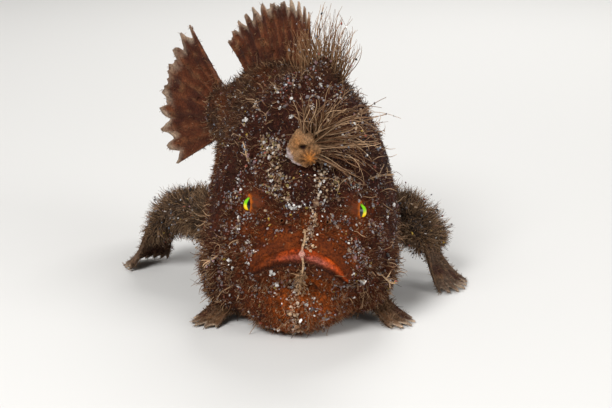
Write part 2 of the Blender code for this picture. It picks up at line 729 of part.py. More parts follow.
def second_spine():
    """The second dorsal spine: a stalk with a swollen end, from which long threads fan out."""
    rng = random.Random(SEED + 2)
    stalk = tube("second_dorsal_spine", curved([Vector(p) * MM for p in SPINE_2_ROUTE], 9),
                 np.linspace(2.1, 1.5, 9) * MM, 12)
    turn = Matrix.Rotation(math.radians(14), 4, "Y")
    pieces = [ellipsoid("bulb", BULB_AT, BULB_RADII, turn, detail=2)]
    for i in range(SPINE_2_THREADS):
        share = (i + 0.5) / SPINE_2_THREADS
        angle = math.radians(112 - 132 * share + rng.uniform(-7, 7))
        length = (8.0 + 7.0 * smoothstep((share - 0.2) / 0.6) * rng.uniform(0.7, 1.0)) * MM
        length *= rng.uniform(0.82, 1.0)
        forward = rng.uniform(-0.50, -0.02)
        way = np.array((math.cos(angle), forward, math.sin(angle)))
        way /= np.linalg.norm(way)
        offset = (rng.uniform(-0.2, 1.3), rng.uniform(-0.6, 0.8), 2.0 * math.sin(angle))
        start = np.array(BULB_AT) + np.array(offset) * MM
        bow = (rng.uniform(-0.4, 0.4), rng.uniform(-0.3, 0.3), rng.uniform(0.2, 1.1))
        sag = np.array(bow) * MM
        pieces.append(strand(start, start + way * length, sag, THREAD_WIDTH))
    return boolean(stalk, pieces, "UNION")


def third_spine():
    """The third dorsal spine: a stout cone on the nape, crowned by a tuft of threads."""
    rng = random.Random(SEED + 3)
    stalk = tube("third_dorsal_spine", curved([Vector(p) * MM for p in SPINE_3_ROUTE], 9),
                 np.linspace(4.2, 2.3, 9) * MM, 14)
    pieces = []
    crown = np.array(SPINE_3_ROUTE[-1]) * MM
    for i in range(SPINE_3_THREADS):
        turn = 2.39996 * i
        out = math.sqrt((i + 0.5) / SPINE_3_THREADS)
        spread = np.array((math.cos(turn) * out, math.sin(turn) * out, 0))
        start = crown + spread * np.array((2.9, 1.9, 0)) * MM + np.array((0, 0, -1.2 * out - 0.6)) * MM
        way = np.array((0, 0.05, 1)) + spread * np.array((0.50, 0.36, 0))
        way /= np.linalg.norm(way)
        length = (11.5 - 3.2 * out**2) * MM * rng.uniform(0.80, 1.0)
        sag = np.array((rng.uniform(-0.5, 0.5), rng.uniform(-0.4, 0.4), 0)) * MM
        pieces.append(strand(start, start + way * length, sag, THREAD_WIDTH))
    return boolean(stalk, pieces, "UNION")


def lure(head, jaw):
    """The first dorsal spine: a thin rod from the snout, hanging over the mouth, with its bait."""
    faces = [Surface(head), Surface(jaw)]
    route = [(0, -28.5 * MM, LURE_ROOT_Z)]
    for z, clearance in zip(np.linspace(LURE_ROOT_Z, LURE_END_Z, 6), (0.2, 1.0, 1.1, 1.2, 1.2, 1.3)):
        hits = [s.front(0, z)[0] for s in faces]
        nearest = min(h.y for h in hits if h)
        route.append((0, nearest - clearance * MM, z))
    path = curved(route, 13)
    rod = tube("illicium", path, np.linspace(0.42, 0.30, 13) * MM, 6)
    end = Vector(path[-1])
    pieces = [ellipsoid("bait", end, (0.75 * MM, 0.6 * MM, 0.95 * MM), detail=1)]
    for x, z in ((-1.7, -1.6), (-0.6, -2.6), (0.7, -2.5), (1.6, -1.3), (-1.6, 0.3), (1.5, 0.5)):
        tip = end + Vector((x, -0.5, z)) * MM
        pieces.append(strand(end, tip, (0, 0, 0), 0.55 * MM))
    return boolean(rod, pieces, "UNION")


def pore(place, normal, radius, height):
    """A short tube that stands on the skin, with a pit in its end."""
    turn = Vector(normal).to_track_quat("Z", "Y").to_matrix()
    rings = []
    for across, up in PORE_PROFILE:
        ring = []
        for angle in np.linspace(0, 2 * math.pi, 9, endpoint=False):
            flat = (math.cos(angle) * across * radius, math.sin(angle) * across * radius)
            ring.append(Vector(place) + turn @ Vector((*flat, up * height)))
        rings.append(ring)
    return loft("pore", rings)


def nostrils(head):
    """A tube-shaped nostril on each side of the snout."""
    made = []
    surface = Surface(head)
    for side in (-1, 1):
        place, normal = surface.front(side * NOSTRIL_X, NOSTRIL_Z)
        made.append(pore(place, normal, 0.6 * MM, 0.9 * MM))
    return made


def gill_pores(torso):
    """The small round gill opening behind and below each arm."""
    made = []
    surface = Surface(torso)
    for side in (-1, 1):
        x, y, z = (n * MM for n in GILL_PORE)
        place, normal = surface.hit((side * x, y, z), (-side, 0, 0.1))
        made.append(pore(place, normal, 1.3 * MM, 0.8 * MM))
    return made


def tendrils(head):
    """The longer skin threads beside the brows and on the cheeks, each with a fork."""
    made = []
    surface = Surface(head)
    for x, z, way, length in TENDRILS:
        place, normal = surface.front(x * MM, z * MM)
        way = Vector(way).normalized()
        root = place - normal * 0.8 * MM
        tip = place + way * length * MM
        made.append(strand(root, tip, normal * 0.4 * MM, LOCK_WIDTH))
        fork = place + way * length * 0.4 * MM
        side = way.cross(normal).normalized()
        made.append(strand(fork, fork + (way + side * 0.9) * length * 0.4 * MM, (0, 0, 0), 0.6 * MM))
    return made


def locks(part, count, seed, length, keep):
    """Tapered skin threads on part, wherever keep(place, normal) allows them."""
    rng = random.Random(SEED + seed)
    mesh = part.data
    mesh.calc_loop_triangles()
    triangles = list(mesh.loop_triangles)
    areas = np.cumsum([t.area for t in triangles])
    taken, made = [], []
    for _ in range(count * 60):
        if len(made) == count:
            break
        found = triangles[int(np.searchsorted(areas, rng.random() * areas[-1]))]
        u, v = sorted((rng.random(), rng.random()))
        a, b, c = (mesh.vertices[k].co for k in found.vertices)
        place = a * u + b * (v - u) + c * (1 - v)
        normal = found.normal.copy()
        near = any((place - other).length < LOCK_SPACING for other in taken)
        if near or not keep(place, normal):
            continue
        lie = Vector((rng.uniform(-0.5, 0.5), rng.uniform(0.3, 1.1), rng.uniform(-1.0, -0.1)))
        lie -= normal * lie.dot(normal)
        way = (normal * 0.5 + lie.normalized() * 0.85).normalized()
        reach = length * rng.uniform(0.8, 1.2)
        root = place - normal * 0.8 * MM
        made.append(strand(root, place + way * reach, normal * reach * 0.26, LOCK_WIDTH, points=5))
        taken.append(place)
    return made


def far_from(place, points, distance):
    return all((place - Vector(p)).length > distance for p in points)


def off_plane(place, point, normal, distance):
    """Whether place is at least distance from a plane."""
    return abs((place - Vector(point)).dot(Vector(normal).normalized())) > distance


def set_locks(parts):
    """Sets skin threads on the head, jaw, trunk and tail of the straight fish."""
    eyes_at = [(side * EYE_X, EYE_Y, EYE_Z) for side in (-1, 1)]
    spines_at = [Vector(p) * MM for p in (*SPINE_2_ROUTE, *SPINE_3_ROUTE)]
    shoulders = [Vector((side * 16, 3.5, 11.5)) * MM for side in (-1, 1)]
    hips = [Vector((side * LEG_ROUTE[1][0], *LEG_ROUTE[1][1:])) * MM for side in (-1, 1)]

    def on_head(place, normal):
        at_mouth = abs(place.x) < 12.5 * MM and place.y < -19 * MM and place.z < 20 * MM
        clear = far_from(place, eyes_at, 3.4 * MM) and far_from(place, spines_at, 5 * MM)
        return (
            clear
            and not at_mouth
            and far_from(place, hips, 8 * MM)
            and off_plane(place, NECK_POINT, NECK_NORMAL, 4.8 * MM)
            and place.z > 4.5 * MM
        )

    def on_jaw(place, normal):
        below = 3.4 * MM < place.z < mouth_line(place.x) - 4 * MM
        return normal.y < -0.3 and below and abs(place.x) < 6.5 * MM

    def on_torso(place, normal):
        return (
            off_plane(place, NECK_POINT, NECK_NORMAL, 2.5 * MM)
            and off_plane(place, TAIL_POINT, TAIL_NORMAL, 4.6 * MM)
            and far_from(place, shoulders, 10 * MM)
            and abs(place.x) > 3.5 * MM
            and place.z > 5 * MM
        )

    def on_tail(place, normal):
        return off_plane(place, TAIL_POINT, TAIL_NORMAL, 2 * MM) and abs(normal.x) > 0.7

    for name, count, length, keep, extra in (
        ("head", 22, 3.0 * MM, on_head, tendrils(parts["head"]) + nostrils(parts["head"])),
        ("lower_jaw", 5, 1.9 * MM, on_jaw, []),
        ("torso", 20, 3.3 * MM, on_torso, gill_pores(parts["torso"])),
        ("tail", 3, 2.2 * MM, on_tail, []),
    ):
        part = parts[name]
        boolean(part, locks(part, count, len(name), length, keep) + extra, "UNION")


def bend_to_pose(obj):
    """Moves obj's points to the pose, as flesh."""
    for vert, point in zip(obj.data.vertices, posed([v.co for v in obj.data.vertices])):
        vert.co = point
    obj.data.update()


def carry_to_pose(obj, anchor, turn):
    """Moves obj level and in one piece, as the flesh at anchor moves, and turns it about anchor."""
    there = Vector(posed([anchor])[0])
    there.z = anchor.z
    matrix = Matrix.Translation(there) @ Matrix.Rotation(turn, 4, "Z") @ Matrix.Translation(-anchor)
    obj.data.transform(matrix)


def painted(obj):
    """Gives obj its own material, in the colour of its kind."""
    kind = next(k for k in COLOURS if obj.name.startswith(k))
    colour, roughness = COLOURS[kind]
    material = bpy.data.materials.new(obj.name)
    material.use_nodes = True
    shader = material.node_tree.nodes["Principled BSDF"]
    shader.inputs["Base Color"].default_value = (*colour, 1)
    shader.inputs["Roughness"].default_value = roughness
    shader.inputs["Metallic"].default_value = 0
    obj.data.materials.clear()
    obj.data.materials.append(material)
    obj.data.shade_smooth()
    obj.data.set_sharp_from_angle(angle=SHARP_ANGLE)


def main():
    clear_scene()
    parts = parted(whole_flesh())
    fins = [
        (dorsal_fin(), ("torso", "tail")),
        (anal_fin(), ("torso", "tail")),
        (tail_fin(), ("tail",)),
    ]
    spines = [
        (second_spine(), ("head",)),
        (third_spine(), ("head", "torso")),
        (lure(parts["head"], parts["lower_jaw"]), ("head", "lower_jaw")),
    ]
    eye_pair = eyes(parts["head"])
    set_locks(parts)
    for obj in [*parts.values(), *eye_pair, *(child for child, _ in fins + spines)]:
        bend_to_pose(obj)
    for side, label in ((-1, "right"), (1, "left")):
        arm, hand_fin = pectoral_limb(side, label)
        leg = pelvic_fin(side, label)
        parts[arm.name] = arm
        shoulder = Vector((side * ARM_ROUTE[0][0], *ARM_ROUTE[0][1:])) * MM
        for limb in (arm, hand_fin):
            carry_to_pose(limb, shoulder, ARM_TURNS[label])
        for limb in (hand_fin, leg):
            floor = box("floor", (-0.1, -0.1, -0.02), (0.1, 0.1, 0))
            boolean(limb, [floor], "DIFFERENCE")
        clear_of(hand_fin, arm)
        clear_of(arm, parts["torso"])
        fins.append((hand_fin, ()))
        fins.append((leg, ("head", "lower_jaw")))
    for child, names in fins + spines:
        if names:
            clear_of(child, *(parts[n] for n in names))
    for obj in [*parts.values(), *(child for child, _ in fins + spines)]:
        largest_surface(obj)
    for obj in [*parts.values(), *eye_pair, *(child for child, _ in fins + spines)]:
        painted(obj)


if __name__ == "__main__":
    main()
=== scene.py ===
"""The looks of a frogfish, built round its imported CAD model. Lengths are in metres.

The flesh is modelled on a straight, level fish, as the CAD is, and posed() bends it to the pose.
The markings are worked out from the place on the straight fish, for the skin and its coat alike.
Plain x, y and z are in millimetres there: to the fish's left, to its tail and up.
"""

import itertools
import math

import bmesh
import bpy
import numpy as np
from mathutils import Matrix, Vector
from mathutils.bvhtree import BVHTree

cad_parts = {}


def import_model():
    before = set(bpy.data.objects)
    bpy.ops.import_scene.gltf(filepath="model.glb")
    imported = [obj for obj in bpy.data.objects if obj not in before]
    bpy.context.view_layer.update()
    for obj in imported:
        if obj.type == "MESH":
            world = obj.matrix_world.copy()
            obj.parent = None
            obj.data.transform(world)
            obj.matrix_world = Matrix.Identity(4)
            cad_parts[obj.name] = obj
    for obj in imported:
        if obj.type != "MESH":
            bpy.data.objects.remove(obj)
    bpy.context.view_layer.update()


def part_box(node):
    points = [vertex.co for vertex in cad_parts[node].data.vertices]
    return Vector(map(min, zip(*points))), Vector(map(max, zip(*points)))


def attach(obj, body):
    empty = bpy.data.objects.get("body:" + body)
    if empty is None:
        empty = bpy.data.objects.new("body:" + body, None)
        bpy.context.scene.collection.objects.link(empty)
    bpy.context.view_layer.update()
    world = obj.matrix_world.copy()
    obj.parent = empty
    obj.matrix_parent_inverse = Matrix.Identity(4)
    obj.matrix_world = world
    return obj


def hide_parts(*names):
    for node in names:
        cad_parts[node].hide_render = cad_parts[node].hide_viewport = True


MM = 0.001
SEED = 7
SIDES = ((-1, "right"), (1, "left"))

# Sizes and pose, as in the CAD
BODY_LENGTH, BODY_DEPTH, BODY_WIDTH = 68 * MM, 39 * MM, 33 * MM
SNOUT_Y = -32.5 * MM
LEAN = math.radians(4.0)
LEAN_FROM, LEAN_FULL = 2 * MM, 14 * MM
LEAN_FADE_Y, LEAN_FADE_LENGTH = -4 * MM, 26 * MM
SWING_FROM_Y = -10 * MM
SWING_PER_METRE = math.radians(48) / (50 * MM)
SWING_MOST = math.radians(52)
# station (of BODY_LENGTH), bottom and top (of BODY_DEPTH), half width (of BODY_WIDTH),
# height of the widest place (of the section), fullness of its sides
SECTIONS = (
    (0.000, 0.310, 0.335, 0.015, 0.50, 0.50),
    (0.007, 0.220, 0.415, 0.160, 0.50, 0.50),
    (0.030, 0.140, 0.500, 0.275, 0.46, 0.55),
    (0.074, 0.075, 0.610, 0.365, 0.41, 0.72),
    (0.140, 0.030, 0.770, 0.435, 0.36, 0.82),
    (0.228, -0.005, 0.905, 0.480, 0.34, 0.62),
    (0.330, -0.020, 0.975, 0.500, 0.34, 0.44),
    (0.450, -0.020, 0.990, 0.485, 0.36, 0.42),
    (0.566, 0.030, 0.985, 0.430, 0.40, 0.44),
    (0.670, 0.155, 0.960, 0.350, 0.44, 0.48),
    (0.765, 0.300, 0.915, 0.250, 0.47, 0.52),
    (0.845, 0.415, 0.860, 0.170, 0.50, 0.55),
    (0.920, 0.485, 0.795, 0.125, 0.50, 0.55),
    (0.980, 0.500, 0.765, 0.090, 0.50, 0.55),
    (1.000, 0.610, 0.640, 0.015, 0.50, 0.55),
)
STATIONS_PER_ROW, RING_POINTS = 8, 96
MOUTH_TOP, MOUTH_CORNER_X = 14.4 * MM, 7.8 * MM
MOUTH_DROP_RIGHT, MOUTH_DROP_LEFT, MOUTH_BEND = 2.9 * MM, 3.8 * MM, 2.2
# The snout fold, the upper and the lower lip: height over the mouth's line, radius, how far proud
# of the face, reach to the sides (of MOUTH_CORNER_X)
LIP_ROLLS = (
    (3.4 * MM, 1.5 * MM, 0.05 * MM, 1.16),
    (1.05 * MM, 1.10 * MM, 0.80 * MM, 1.06),
    (-1.6 * MM, 1.50 * MM, 1.20 * MM, 1.02),
)
# Centre and radii of chin, snout, nape, cheeks and eye mounds, in millimetres
FACE_MASSES = (
    ((0, -25.4, 6.2), (9.6, 7.0, 6.4)),
    ((0, -24.2, 17.6), (4.6, 5.6, 5.4)),
    ((0, -9.4, 33.2), (8.2, 9.0, 6.6)),
    ((10.2, -17.6, 9.6), (6.2, 9.8, 8.8)),
    ((7.0, -22.2, 20.4), (2.7, 3.8, 3.8)),
)
EYE_X, EYE_Y, EYE_Z = 7.9 * MM, -24.1 * MM, 20.1 * MM
EYE_RADIUS = 1.75 * MM
EYE_AXIS = (0.95, -0.28, 0.12)  # a little further sideways than the CAD's eye rims
# The fleshy mound round an eye, from its opening outwards: distance out along the axis, radius
LID_PROFILE = (
    (1.02, 1.36), (1.15, 1.38), (1.22, 1.50), (1.14, 1.72), (0.88, 1.95), (0.42, 2.16),
    (-0.2, 2.36), (-1.0, 2.5),
)
LID_RINGS, LID_SIDES, LID_THICKNESS = 36, 96, 0.12
NOSTRIL_X, NOSTRIL_Z = 3.3 * MM, 19.3 * MM
ROOT_DEPTH = 1.6 * MM
DORSAL_RAYS, DORSAL_START_Y, DORSAL_END_Y, DORSAL_HEIGHT = 12, -0.5 * MM, 22.5 * MM, 11.0 * MM
ANAL_RAYS, ANAL_START_Y, ANAL_END_Y, ANAL_HEIGHT = 7, 13 * MM, 23 * MM, 8.2 * MM
TAIL_RAYS, TAIL_FIN_Y, TAIL_FIN_Z = 9, 31.5 * MM, 24.8 * MM
TAIL_FIN_HALF_ROOT, TAIL_FIN_LENGTH = 3.9 * MM, 18.5 * MM
PECTORAL_RAYS, PELVIC_RAYS = 10, 5
TIP_HEIGHT = 0.4 * MM
TIP_THICK, HAND_TIP_THICK = 0.50 * MM, 0.62 * MM
FIN_ROWS, STEPS_PER_RAY, WEB_THICKNESS = 16, 8, 0.34
ARM_ROUTE = ((10.5, 3.5, 9.8), (17.2, 3.0, 11.2), (22.8, 1.0, 10.6), (26.0, -1.4, 6.9))
ARM_RADII, ARM_FLATS = (5.5 * MM, 4.8 * MM, 3.9 * MM), (0.80, 0.74, 0.40)
ARM_TURNS = {"left": math.radians(-8), "right": math.radians(-44)}
LEG_ROUTE = ((5.0, -12.5, 3.6), (9.4, -17.2, 4.4), (12.6, -20.6, 2.9))
LEG_SHIFTS = {"left": 2.8 * MM, "right": 1.2 * MM}
HAND_REACH = {"left": 6.4 * MM, "right": 5.4 * MM}
SPINE_2_ROUTE = ((-0.2, -18.0, 24.5), (-0.3, -22.2, 27.2), (-0.7, -24.8, 29.4))
BULB_AT, BULB_RADII = (-0.7 * MM, -25.4 * MM, 30.3 * MM), (3.0 * MM, 1.9 * MM, 3.2 * MM)
BULB_VOXEL, BULB_SMOOTHING = 0.15 * MM, 3
# Swellings of the bulb's front: place from its centre and radius, in millimetres
BULB_LOBES = (
    (0.95, -1.0, -1.25, 1.25), (0.35, -0.95, 1.45, 1.2), (-1.35, -0.85, 0.75, 1.05),
    (-0.9, -0.8, -1.0, 0.95), (1.5, -0.5, 0.2, 1.2),
)
SPINE_3_ROUTE = ((0.3, -12.5, 35.0), (1.0, -10.6, 38.5), (1.8, -8.6, 41.0))
GOLDEN_ANGLE = 2.39996
LURE_ROOT_Z, LURE_END_Z = 18.6 * MM, 9.4 * MM
# How far the lure's thread stands off the face, from its root to its end, in millimetres
LURE_CLEARANCES = (0.0, 0.25, 0.45, 0.55, 0.6, 0.7, 0.8, 0.9, 0.95, 1.0, 1.05, 1.1)
LURE_RINGS, LURE_SIDES, KNOT_AT = 71, 12, 0.36
# A pore's section: radius and height, each as a share of the pore's own
PORE_PROFILE = ((1.0, -1.2), (1.0, 0.5), (0.86, 0.9), (0.66, 1.0), (0.5, 0.8), (0.4, -0.6))
PORE_RINGS, PORE_SIDES = 21, 28
GILL_PORE = (40, 9.5, 6.5)
FACE_Y = -30 * MM  # about where the face is, for what is placed on it by x and z
# Forked threads: x and z of the root, the way they point, length
TENDRILS = (
    (-9.4, 25.5, (-0.3, -0.4, 1.0), 4.6),
    (10.0, 24.5, (1.0, -0.5, 0.35), 4.6),
    (-13.2, 12.0, (-0.8, -0.8, -0.5), 3.6),
    (13.0, 10.5, (0.9, -0.7, -0.3), 3.2),
)
# Their stem and side branches: start and length (of the stem's), spread, width in millimetres
BRANCHES = ((0, 1, 0, 0.30), (0.30, 0.5, 0.8, 0.20), (0.5, 0.42, 0.9, 0.18), (0.68, 0.3, 0.8, 0.16),
            (0.1, 0.35, 0.9, 0.16))

# The skin
FLESH_VOXEL, FLESH_SMOOTHING = 0.36 * MM, 14
SKIN_VOXEL, SKIN_SMOOTHING = 0.24 * MM, 7
SKIN_INSET = 0.30  # millimetres
FLOOR_GAP = 0.05 * MM

# Counts of the coat
FUZZ_FACE, FUZZ_JAW, FUZZ_NAPE = 13000, 8500, 11500
FUZZ_FLANK, FUZZ_ARM, FUZZ_FIN = 10000, 6600, 1000
HAIRS_PER_TUFT = 4
PAPILLAE_HEAD, PAPILLAE_BACK = 1050, 480
GRAINS_FACE, GRAINS_CREST, GRAINS_BROW, GRAINS_NAPE, GRAINS_BACK = 3300, 560, 350, 1300, 1500
ARM_GRAINS, BAIT_THREADS, FOREHEAD_THREADS = 460, 80, 34
SPINE_2_THREADS, SPINE_3_THREADS = 150, 260
SPINE_2_BEADS, SPINE_3_BEADS = 46, 70
# Points along a thread and round it
HAIR, ARM_HAIR, PAPILLA, TENDRIL, FOREHEAD_THREAD = (3, 3), (4, 3), (8, 4), (12, 6), (16, 5)
SPINE_2_THREAD, SPINE_3_THREAD, BAIT_THREAD = (14, 5), (12, 4), (6, 4)
PATCH = 0.0015  # half the width of a tuft's patch on the coat's map
# The largest pale warts of the face, in millimetres, seen from the front: x, z, radius
LARGE_WARTS = (
    (-3.0, 12.4, 0.46), (-2.6, 12.2, 0.34), (-2.2, 10.0, 0.42), (11.4, 9.5, 0.38), (10.9, 9.7, 0.30),
    (9.8, 11.3, 0.30), (0.0, 21.3, 0.46), (0.6, 21.4, 0.36), (-8.3, 18.8, 0.34), (-8.2, 17.2, 0.30),
    (-9.5, 12.4, 0.42), (-9.1, 11.5, 0.34), (-6.6, 12.9, 0.34), (10.3, 18.1, 0.26), (2.4, 6.6, 0.30),
    (3.7, 7.6, 0.36), (0.1, 36.2, 0.36), (0.1, 33.5, 0.38), (-2.6, 37.3, 0.30), (4.7, 38.2, 0.30),
    (7.7, 36.2, 0.34), (3.5, 35.0, 0.28), (-1.8, 34.6, 0.32), (-7.5, 31.2, 0.40), (-3.0, 24.5, 0.34),
)
WART_SHARES = (0.80, 0.62, 0.55, 0.45, 0.45, 0.38)  # radii of the grains of a large wart

# Camera, fitted to the photograph, and lights: name, place, size, power
TARGET = Vector((2.4, -30.0, 22.35)) * MM
ELEVATION, DISTANCE, LENS = math.radians(15), 230 * MM, 87.3
LIGHTS = (
    ("key", (-0.22, -0.42, 0.42), 0.26, 3.6),
    ("fill", (0.40, -0.30, 0.22), 0.35, 1.2),
    ("back", (0.10, 0.40, 0.40), 0.30, 1.7),
)
LIGHTS_AIM = Vector((0, -0.01, 0.015))

# Linear colours
RUST = (0.064, 0.0135, 0.0038)
ORANGE = (0.215, 0.0440, 0.0050)
LIP_RED = (0.260, 0.0340, 0.0040)
LIP_PINK = (0.400, 0.1200, 0.0900)
LIP_BROWN = (0.120, 0.0260, 0.0050)
LIP_BRIGHT = (0.420, 0.0560, 0.0025)
MAROON = (0.033, 0.0095, 0.0062)
SHADE = (0.016, 0.0050, 0.0025)
FOLD_BROWN = (0.098, 0.0195, 0.0030)
BAND_BROWN = (0.066, 0.0180, 0.0058)
UMBER = (0.054, 0.0245, 0.0125)
BELLY = (0.090, 0.0440, 0.0210)
GREY_BROWN = (0.062, 0.0390, 0.0260)
TAN = (0.210, 0.1050, 0.0460)
OCHRE = (0.260, 0.1100, 0.0340)
BEIGE = (0.400, 0.2600, 0.1500)
OLIVE = (0.230, 0.1700, 0.0500)
SPINE_TAN = (0.230, 0.1250, 0.0600)
SPINE_ORANGE = (0.330, 0.115, 0.020)
THREAD_BROWN = (0.076, 0.0330, 0.0145)
LILAC_WHITE = (0.470, 0.4100, 0.4300)
LURE_PINK = (0.560, 0.2700, 0.2100)
IRIS_YELLOW = (0.880, 0.5800, 0.0010)
IRIS_GREEN = (0.150, 0.4700, 0.0020)
PUPIL_BLACK = (0.004, 0.004, 0.004)
LID_ORANGE = (0.370, 0.0850, 0.0070)
PALE = (0.520, 0.4000, 0.2900)
WHITE = (0.760, 0.7200, 0.6800)
FIN_RED = (0.070, 0.0190, 0.0080)
FIN_RAY = (0.130, 0.0430, 0.0180)
HAND_RAY = (0.130, 0.0800, 0.0520)
FOOT_RAY = (0.130, 0.0760, 0.0450)
# The warts' colours and how common each is
MIXED_GRAINS = (
    (WHITE, 0.08), ((0.250, 0.230, 0.235), 0.20), ((0.330, 0.230, 0.150), 0.22),
    ((0.110, 0.085, 0.080), 0.18), ((0.240, 0.135, 0.140), 0.10), ((0.420, 0.270, 0.030), 0.02),
    ((0.300, 0.060, 0.030), 0.05), ((0.200, 0.235, 0.290), 0.05), ((0.012, 0.009, 0.008), 0.10),
)
BEIGE_GRAINS = ((BEIGE, 0.42), (TAN, 0.33), (PALE, 0.15), (WHITE, 0.10))
OLIVE_GRAINS = ((TAN, 0.35), (BEIGE, 0.30), (OLIVE, 0.20), (PALE, 0.10), (WHITE, 0.05))


def ramp(value, start, length):
    """0 up to start, rising smoothly to 1 over length."""
    t = np.clip((value - start) / length, 0.0, 1.0)
    return t * t * (3 - 2 * t)


def fade(value, start, length):
    """1 up to start, falling smoothly to 0 over length."""
    return 1 - ramp(value, start, length)


def bell(value, middle, width):
    """1 at middle, falling to 0 on both sides over width."""
    return np.exp(-(((value - middle) / width) ** 2))


def unit(v):
    return v / np.maximum(np.linalg.norm(v, axis=1), 1e-12)[:, None]


def through(rows, at):
    """Columns of rows read at fractional row numbers, on a smooth curve through the rows."""
    rows = np.array(rows, float)
    last = len(rows) - 1
    base = np.clip(np.floor(at).astype(int), 0, last - 1)
    t = (at - base)[:, None]
    before, start = rows[np.maximum(base - 1, 0)], rows[base]
    end, after = rows[base + 1], rows[np.minimum(base + 2, last)]
    return (
        start * (2 * t**3 - 3 * t**2 + 1)
        + (end - before) / 2 * (t**3 - 2 * t**2 + t)
        + end * (3 * t**2 - 2 * t**3)
        + (after - start) / 2 * (t**3 - t**2)
    )


def curved(points, count):
    """count points on a smooth curve through a few."""
    return through(points, np.linspace(0, len(points) - 1, count))


def circle(count):
    return np.linspace(0, 2 * math.pi, count, endpoint=False)


def noise(points, size, seed):
    """Smooth random values from -1 to 1 at points, in cells of size."""
    p = np.asarray(points, float) / size + 31.7 * (seed + 1)
    base = np.floor(p).astype(np.int64)
    t = ramp(p - base, 0, 1)
    total = np.zeros(len(p))
    for corner in itertools.product((0, 1), repeat=3):
        n = base + corner
        mix = n[:, 0] * 73856093 ^ n[:, 1] * 19349663 ^ n[:, 2] * 83492791 ^ (seed + 3) * 2654435
        mix = (mix * 1103515245 + 12345) & 0x7FFFFFFF
        mix = (mix ^ (mix >> 11)) * 69069 & 0x7FFFFFFF
        value = ((mix >> 9) & 0xFFFF) / 32767.5 - 1
        total += value * np.prod(np.where(corner, t, 1 - t), axis=1)
    return total


def body_rings():
    """Rings of the body's skin, snout to tail, on the straight fish."""
    angles = circle(RING_POINTS)
    share = (1 - np.cos(angles)) / 2
    rings = []
    for row in curved(SECTIONS, (len(SECTIONS) - 1) * STATIONS_PER_ROW + 1):
        station, bottom, top, half, widest, fullness = row
        skew = math.log(0.5) / math.log(widest)
        side = np.sin(math.pi * share**skew).clip(0, 1) ** fullness
        x = np.sign(np.sin(angles)) * side * max(half, 0.01) * BODY_WIDTH
        z = (bottom + share * (top - bottom)) * BODY_DEPTH
        rings.append(np.stack([x, np.full_like(x, SNOUT_Y + station * BODY_LENGTH), z], axis=1))
    return rings


def section_height(y, column):
    """Height of the back's (column 2) or the belly's (1) midline at y."""
    table = np.array(SECTIONS)
    return float(np.interp((y - SNOUT_Y) / BODY_LENGTH, table[:, 0], table[:, column])) * BODY_DEPTH


def posed(points):
    """Points of the straight fish, moved to the pose."""
    across, y, up = np.array(points, float).reshape(-1, 3).T
    lean = LEAN * ramp(up, LEAN_FROM, LEAN_FULL - LEAN_FROM)
    lean = lean * fade(y, LEAN_FADE_Y, LEAN_FADE_LENGTH)
    x = across * np.cos(lean) + up * np.sin(lean)
    z = up * np.cos(lean) - across * np.sin(lean)
    line_y = np.linspace(-60 * MM, 80 * MM, 561)
    heading = np.clip((line_y - SWING_FROM_Y) * SWING_PER_METRE, 0, SWING_MOST)
    step = line_y[1] - line_y[0]
    line_turned_x = -np.cumsum(np.sin(heading)) * step
    line_turned_y = np.cumsum(np.cos(heading)) * step
    line_turned_y += np.interp(0.0, line_y, line_y - line_turned_y)
    line_turned_x -= np.interp(0.0, line_y, line_turned_x)
    middle_x, middle_y, turn = (
        np.interp(y, line_y, values) for values in (line_turned_x, line_turned_y, heading)
    )
    return np.stack([middle_x + x * np.cos(turn), middle_y + x * np.sin(turn), z], axis=1)


def linked(name, mesh):
    obj = bpy.data.objects.new(name, mesh)
    bpy.context.scene.collection.objects.link(obj)
    return obj


def new_object(name, points, faces):
    mesh = bpy.data.meshes.new(name)
    mesh.from_pydata([tuple(map(float, p)) for p in points], [], faces)
    return linked(name, mesh)


def worked(name, work):
    """An object of a bmesh."""
    mesh = bpy.data.meshes.new(name)
    work.to_mesh(mesh)
    work.free()
    return linked(name, mesh)


def face_out(obj):
    """Turns the faces of a closed mesh outwards."""
    work = bmesh.new()
    work.from_mesh(obj.data)
    bmesh.ops.recalc_face_normals(work, faces=work.faces)
    if work.calc_volume(signed=True) < 0:
        bmesh.ops.reverse_faces(work, faces=work.faces)
    work.to_mesh(obj.data)
    work.free()
    return obj


def neighbours(count, closed):
    """Each number below count with the next one."""
    return [(i, (i + 1) % count) for i in range(count if closed else count - 1)]


def quads(rows, columns, closed_rows=False, closed_columns=True):
    """Faces of a grid of points, which may close on itself either way."""
    return [
        (i * columns + j, i * columns + k, n * columns + k, n * columns + j)
        for i, n in neighbours(rows, closed_rows)
        for j, k in neighbours(columns, closed_columns)
    ]


def loft(name, rings):
    """A closed surface through rings of equal length, its ends closed by fans of triangles."""
    count = len(rings[0])
    points = [p for ring in rings for p in ring]
    faces = quads(len(rings), count)
    first, end = len(points), len(points) - count
    points += [np.mean(rings[0], axis=0), np.mean(rings[-1], axis=0)]
    for j, k in neighbours(count, True):
        faces += [(first, k, j), (first + 1, end + j, end + k)]
    return face_out(new_object(name, points, faces))


def loft_shares(rings, sides):
    """For each point of a loft, how far along it that point is."""
    return np.append(np.linspace(0, 1, rings).repeat(sides), (0, 1))


def ellipsoid(name, centre, radii, turn=None, detail=4):
    work = bmesh.new()
    turn = turn or Matrix.Identity(4)
    matrix = Matrix.Translation(centre) @ turn @ Matrix.Diagonal((*radii, 1))
    bmesh.ops.create_icosphere(work, subdivisions=detail, radius=1, matrix=matrix)
    return worked(name, work)


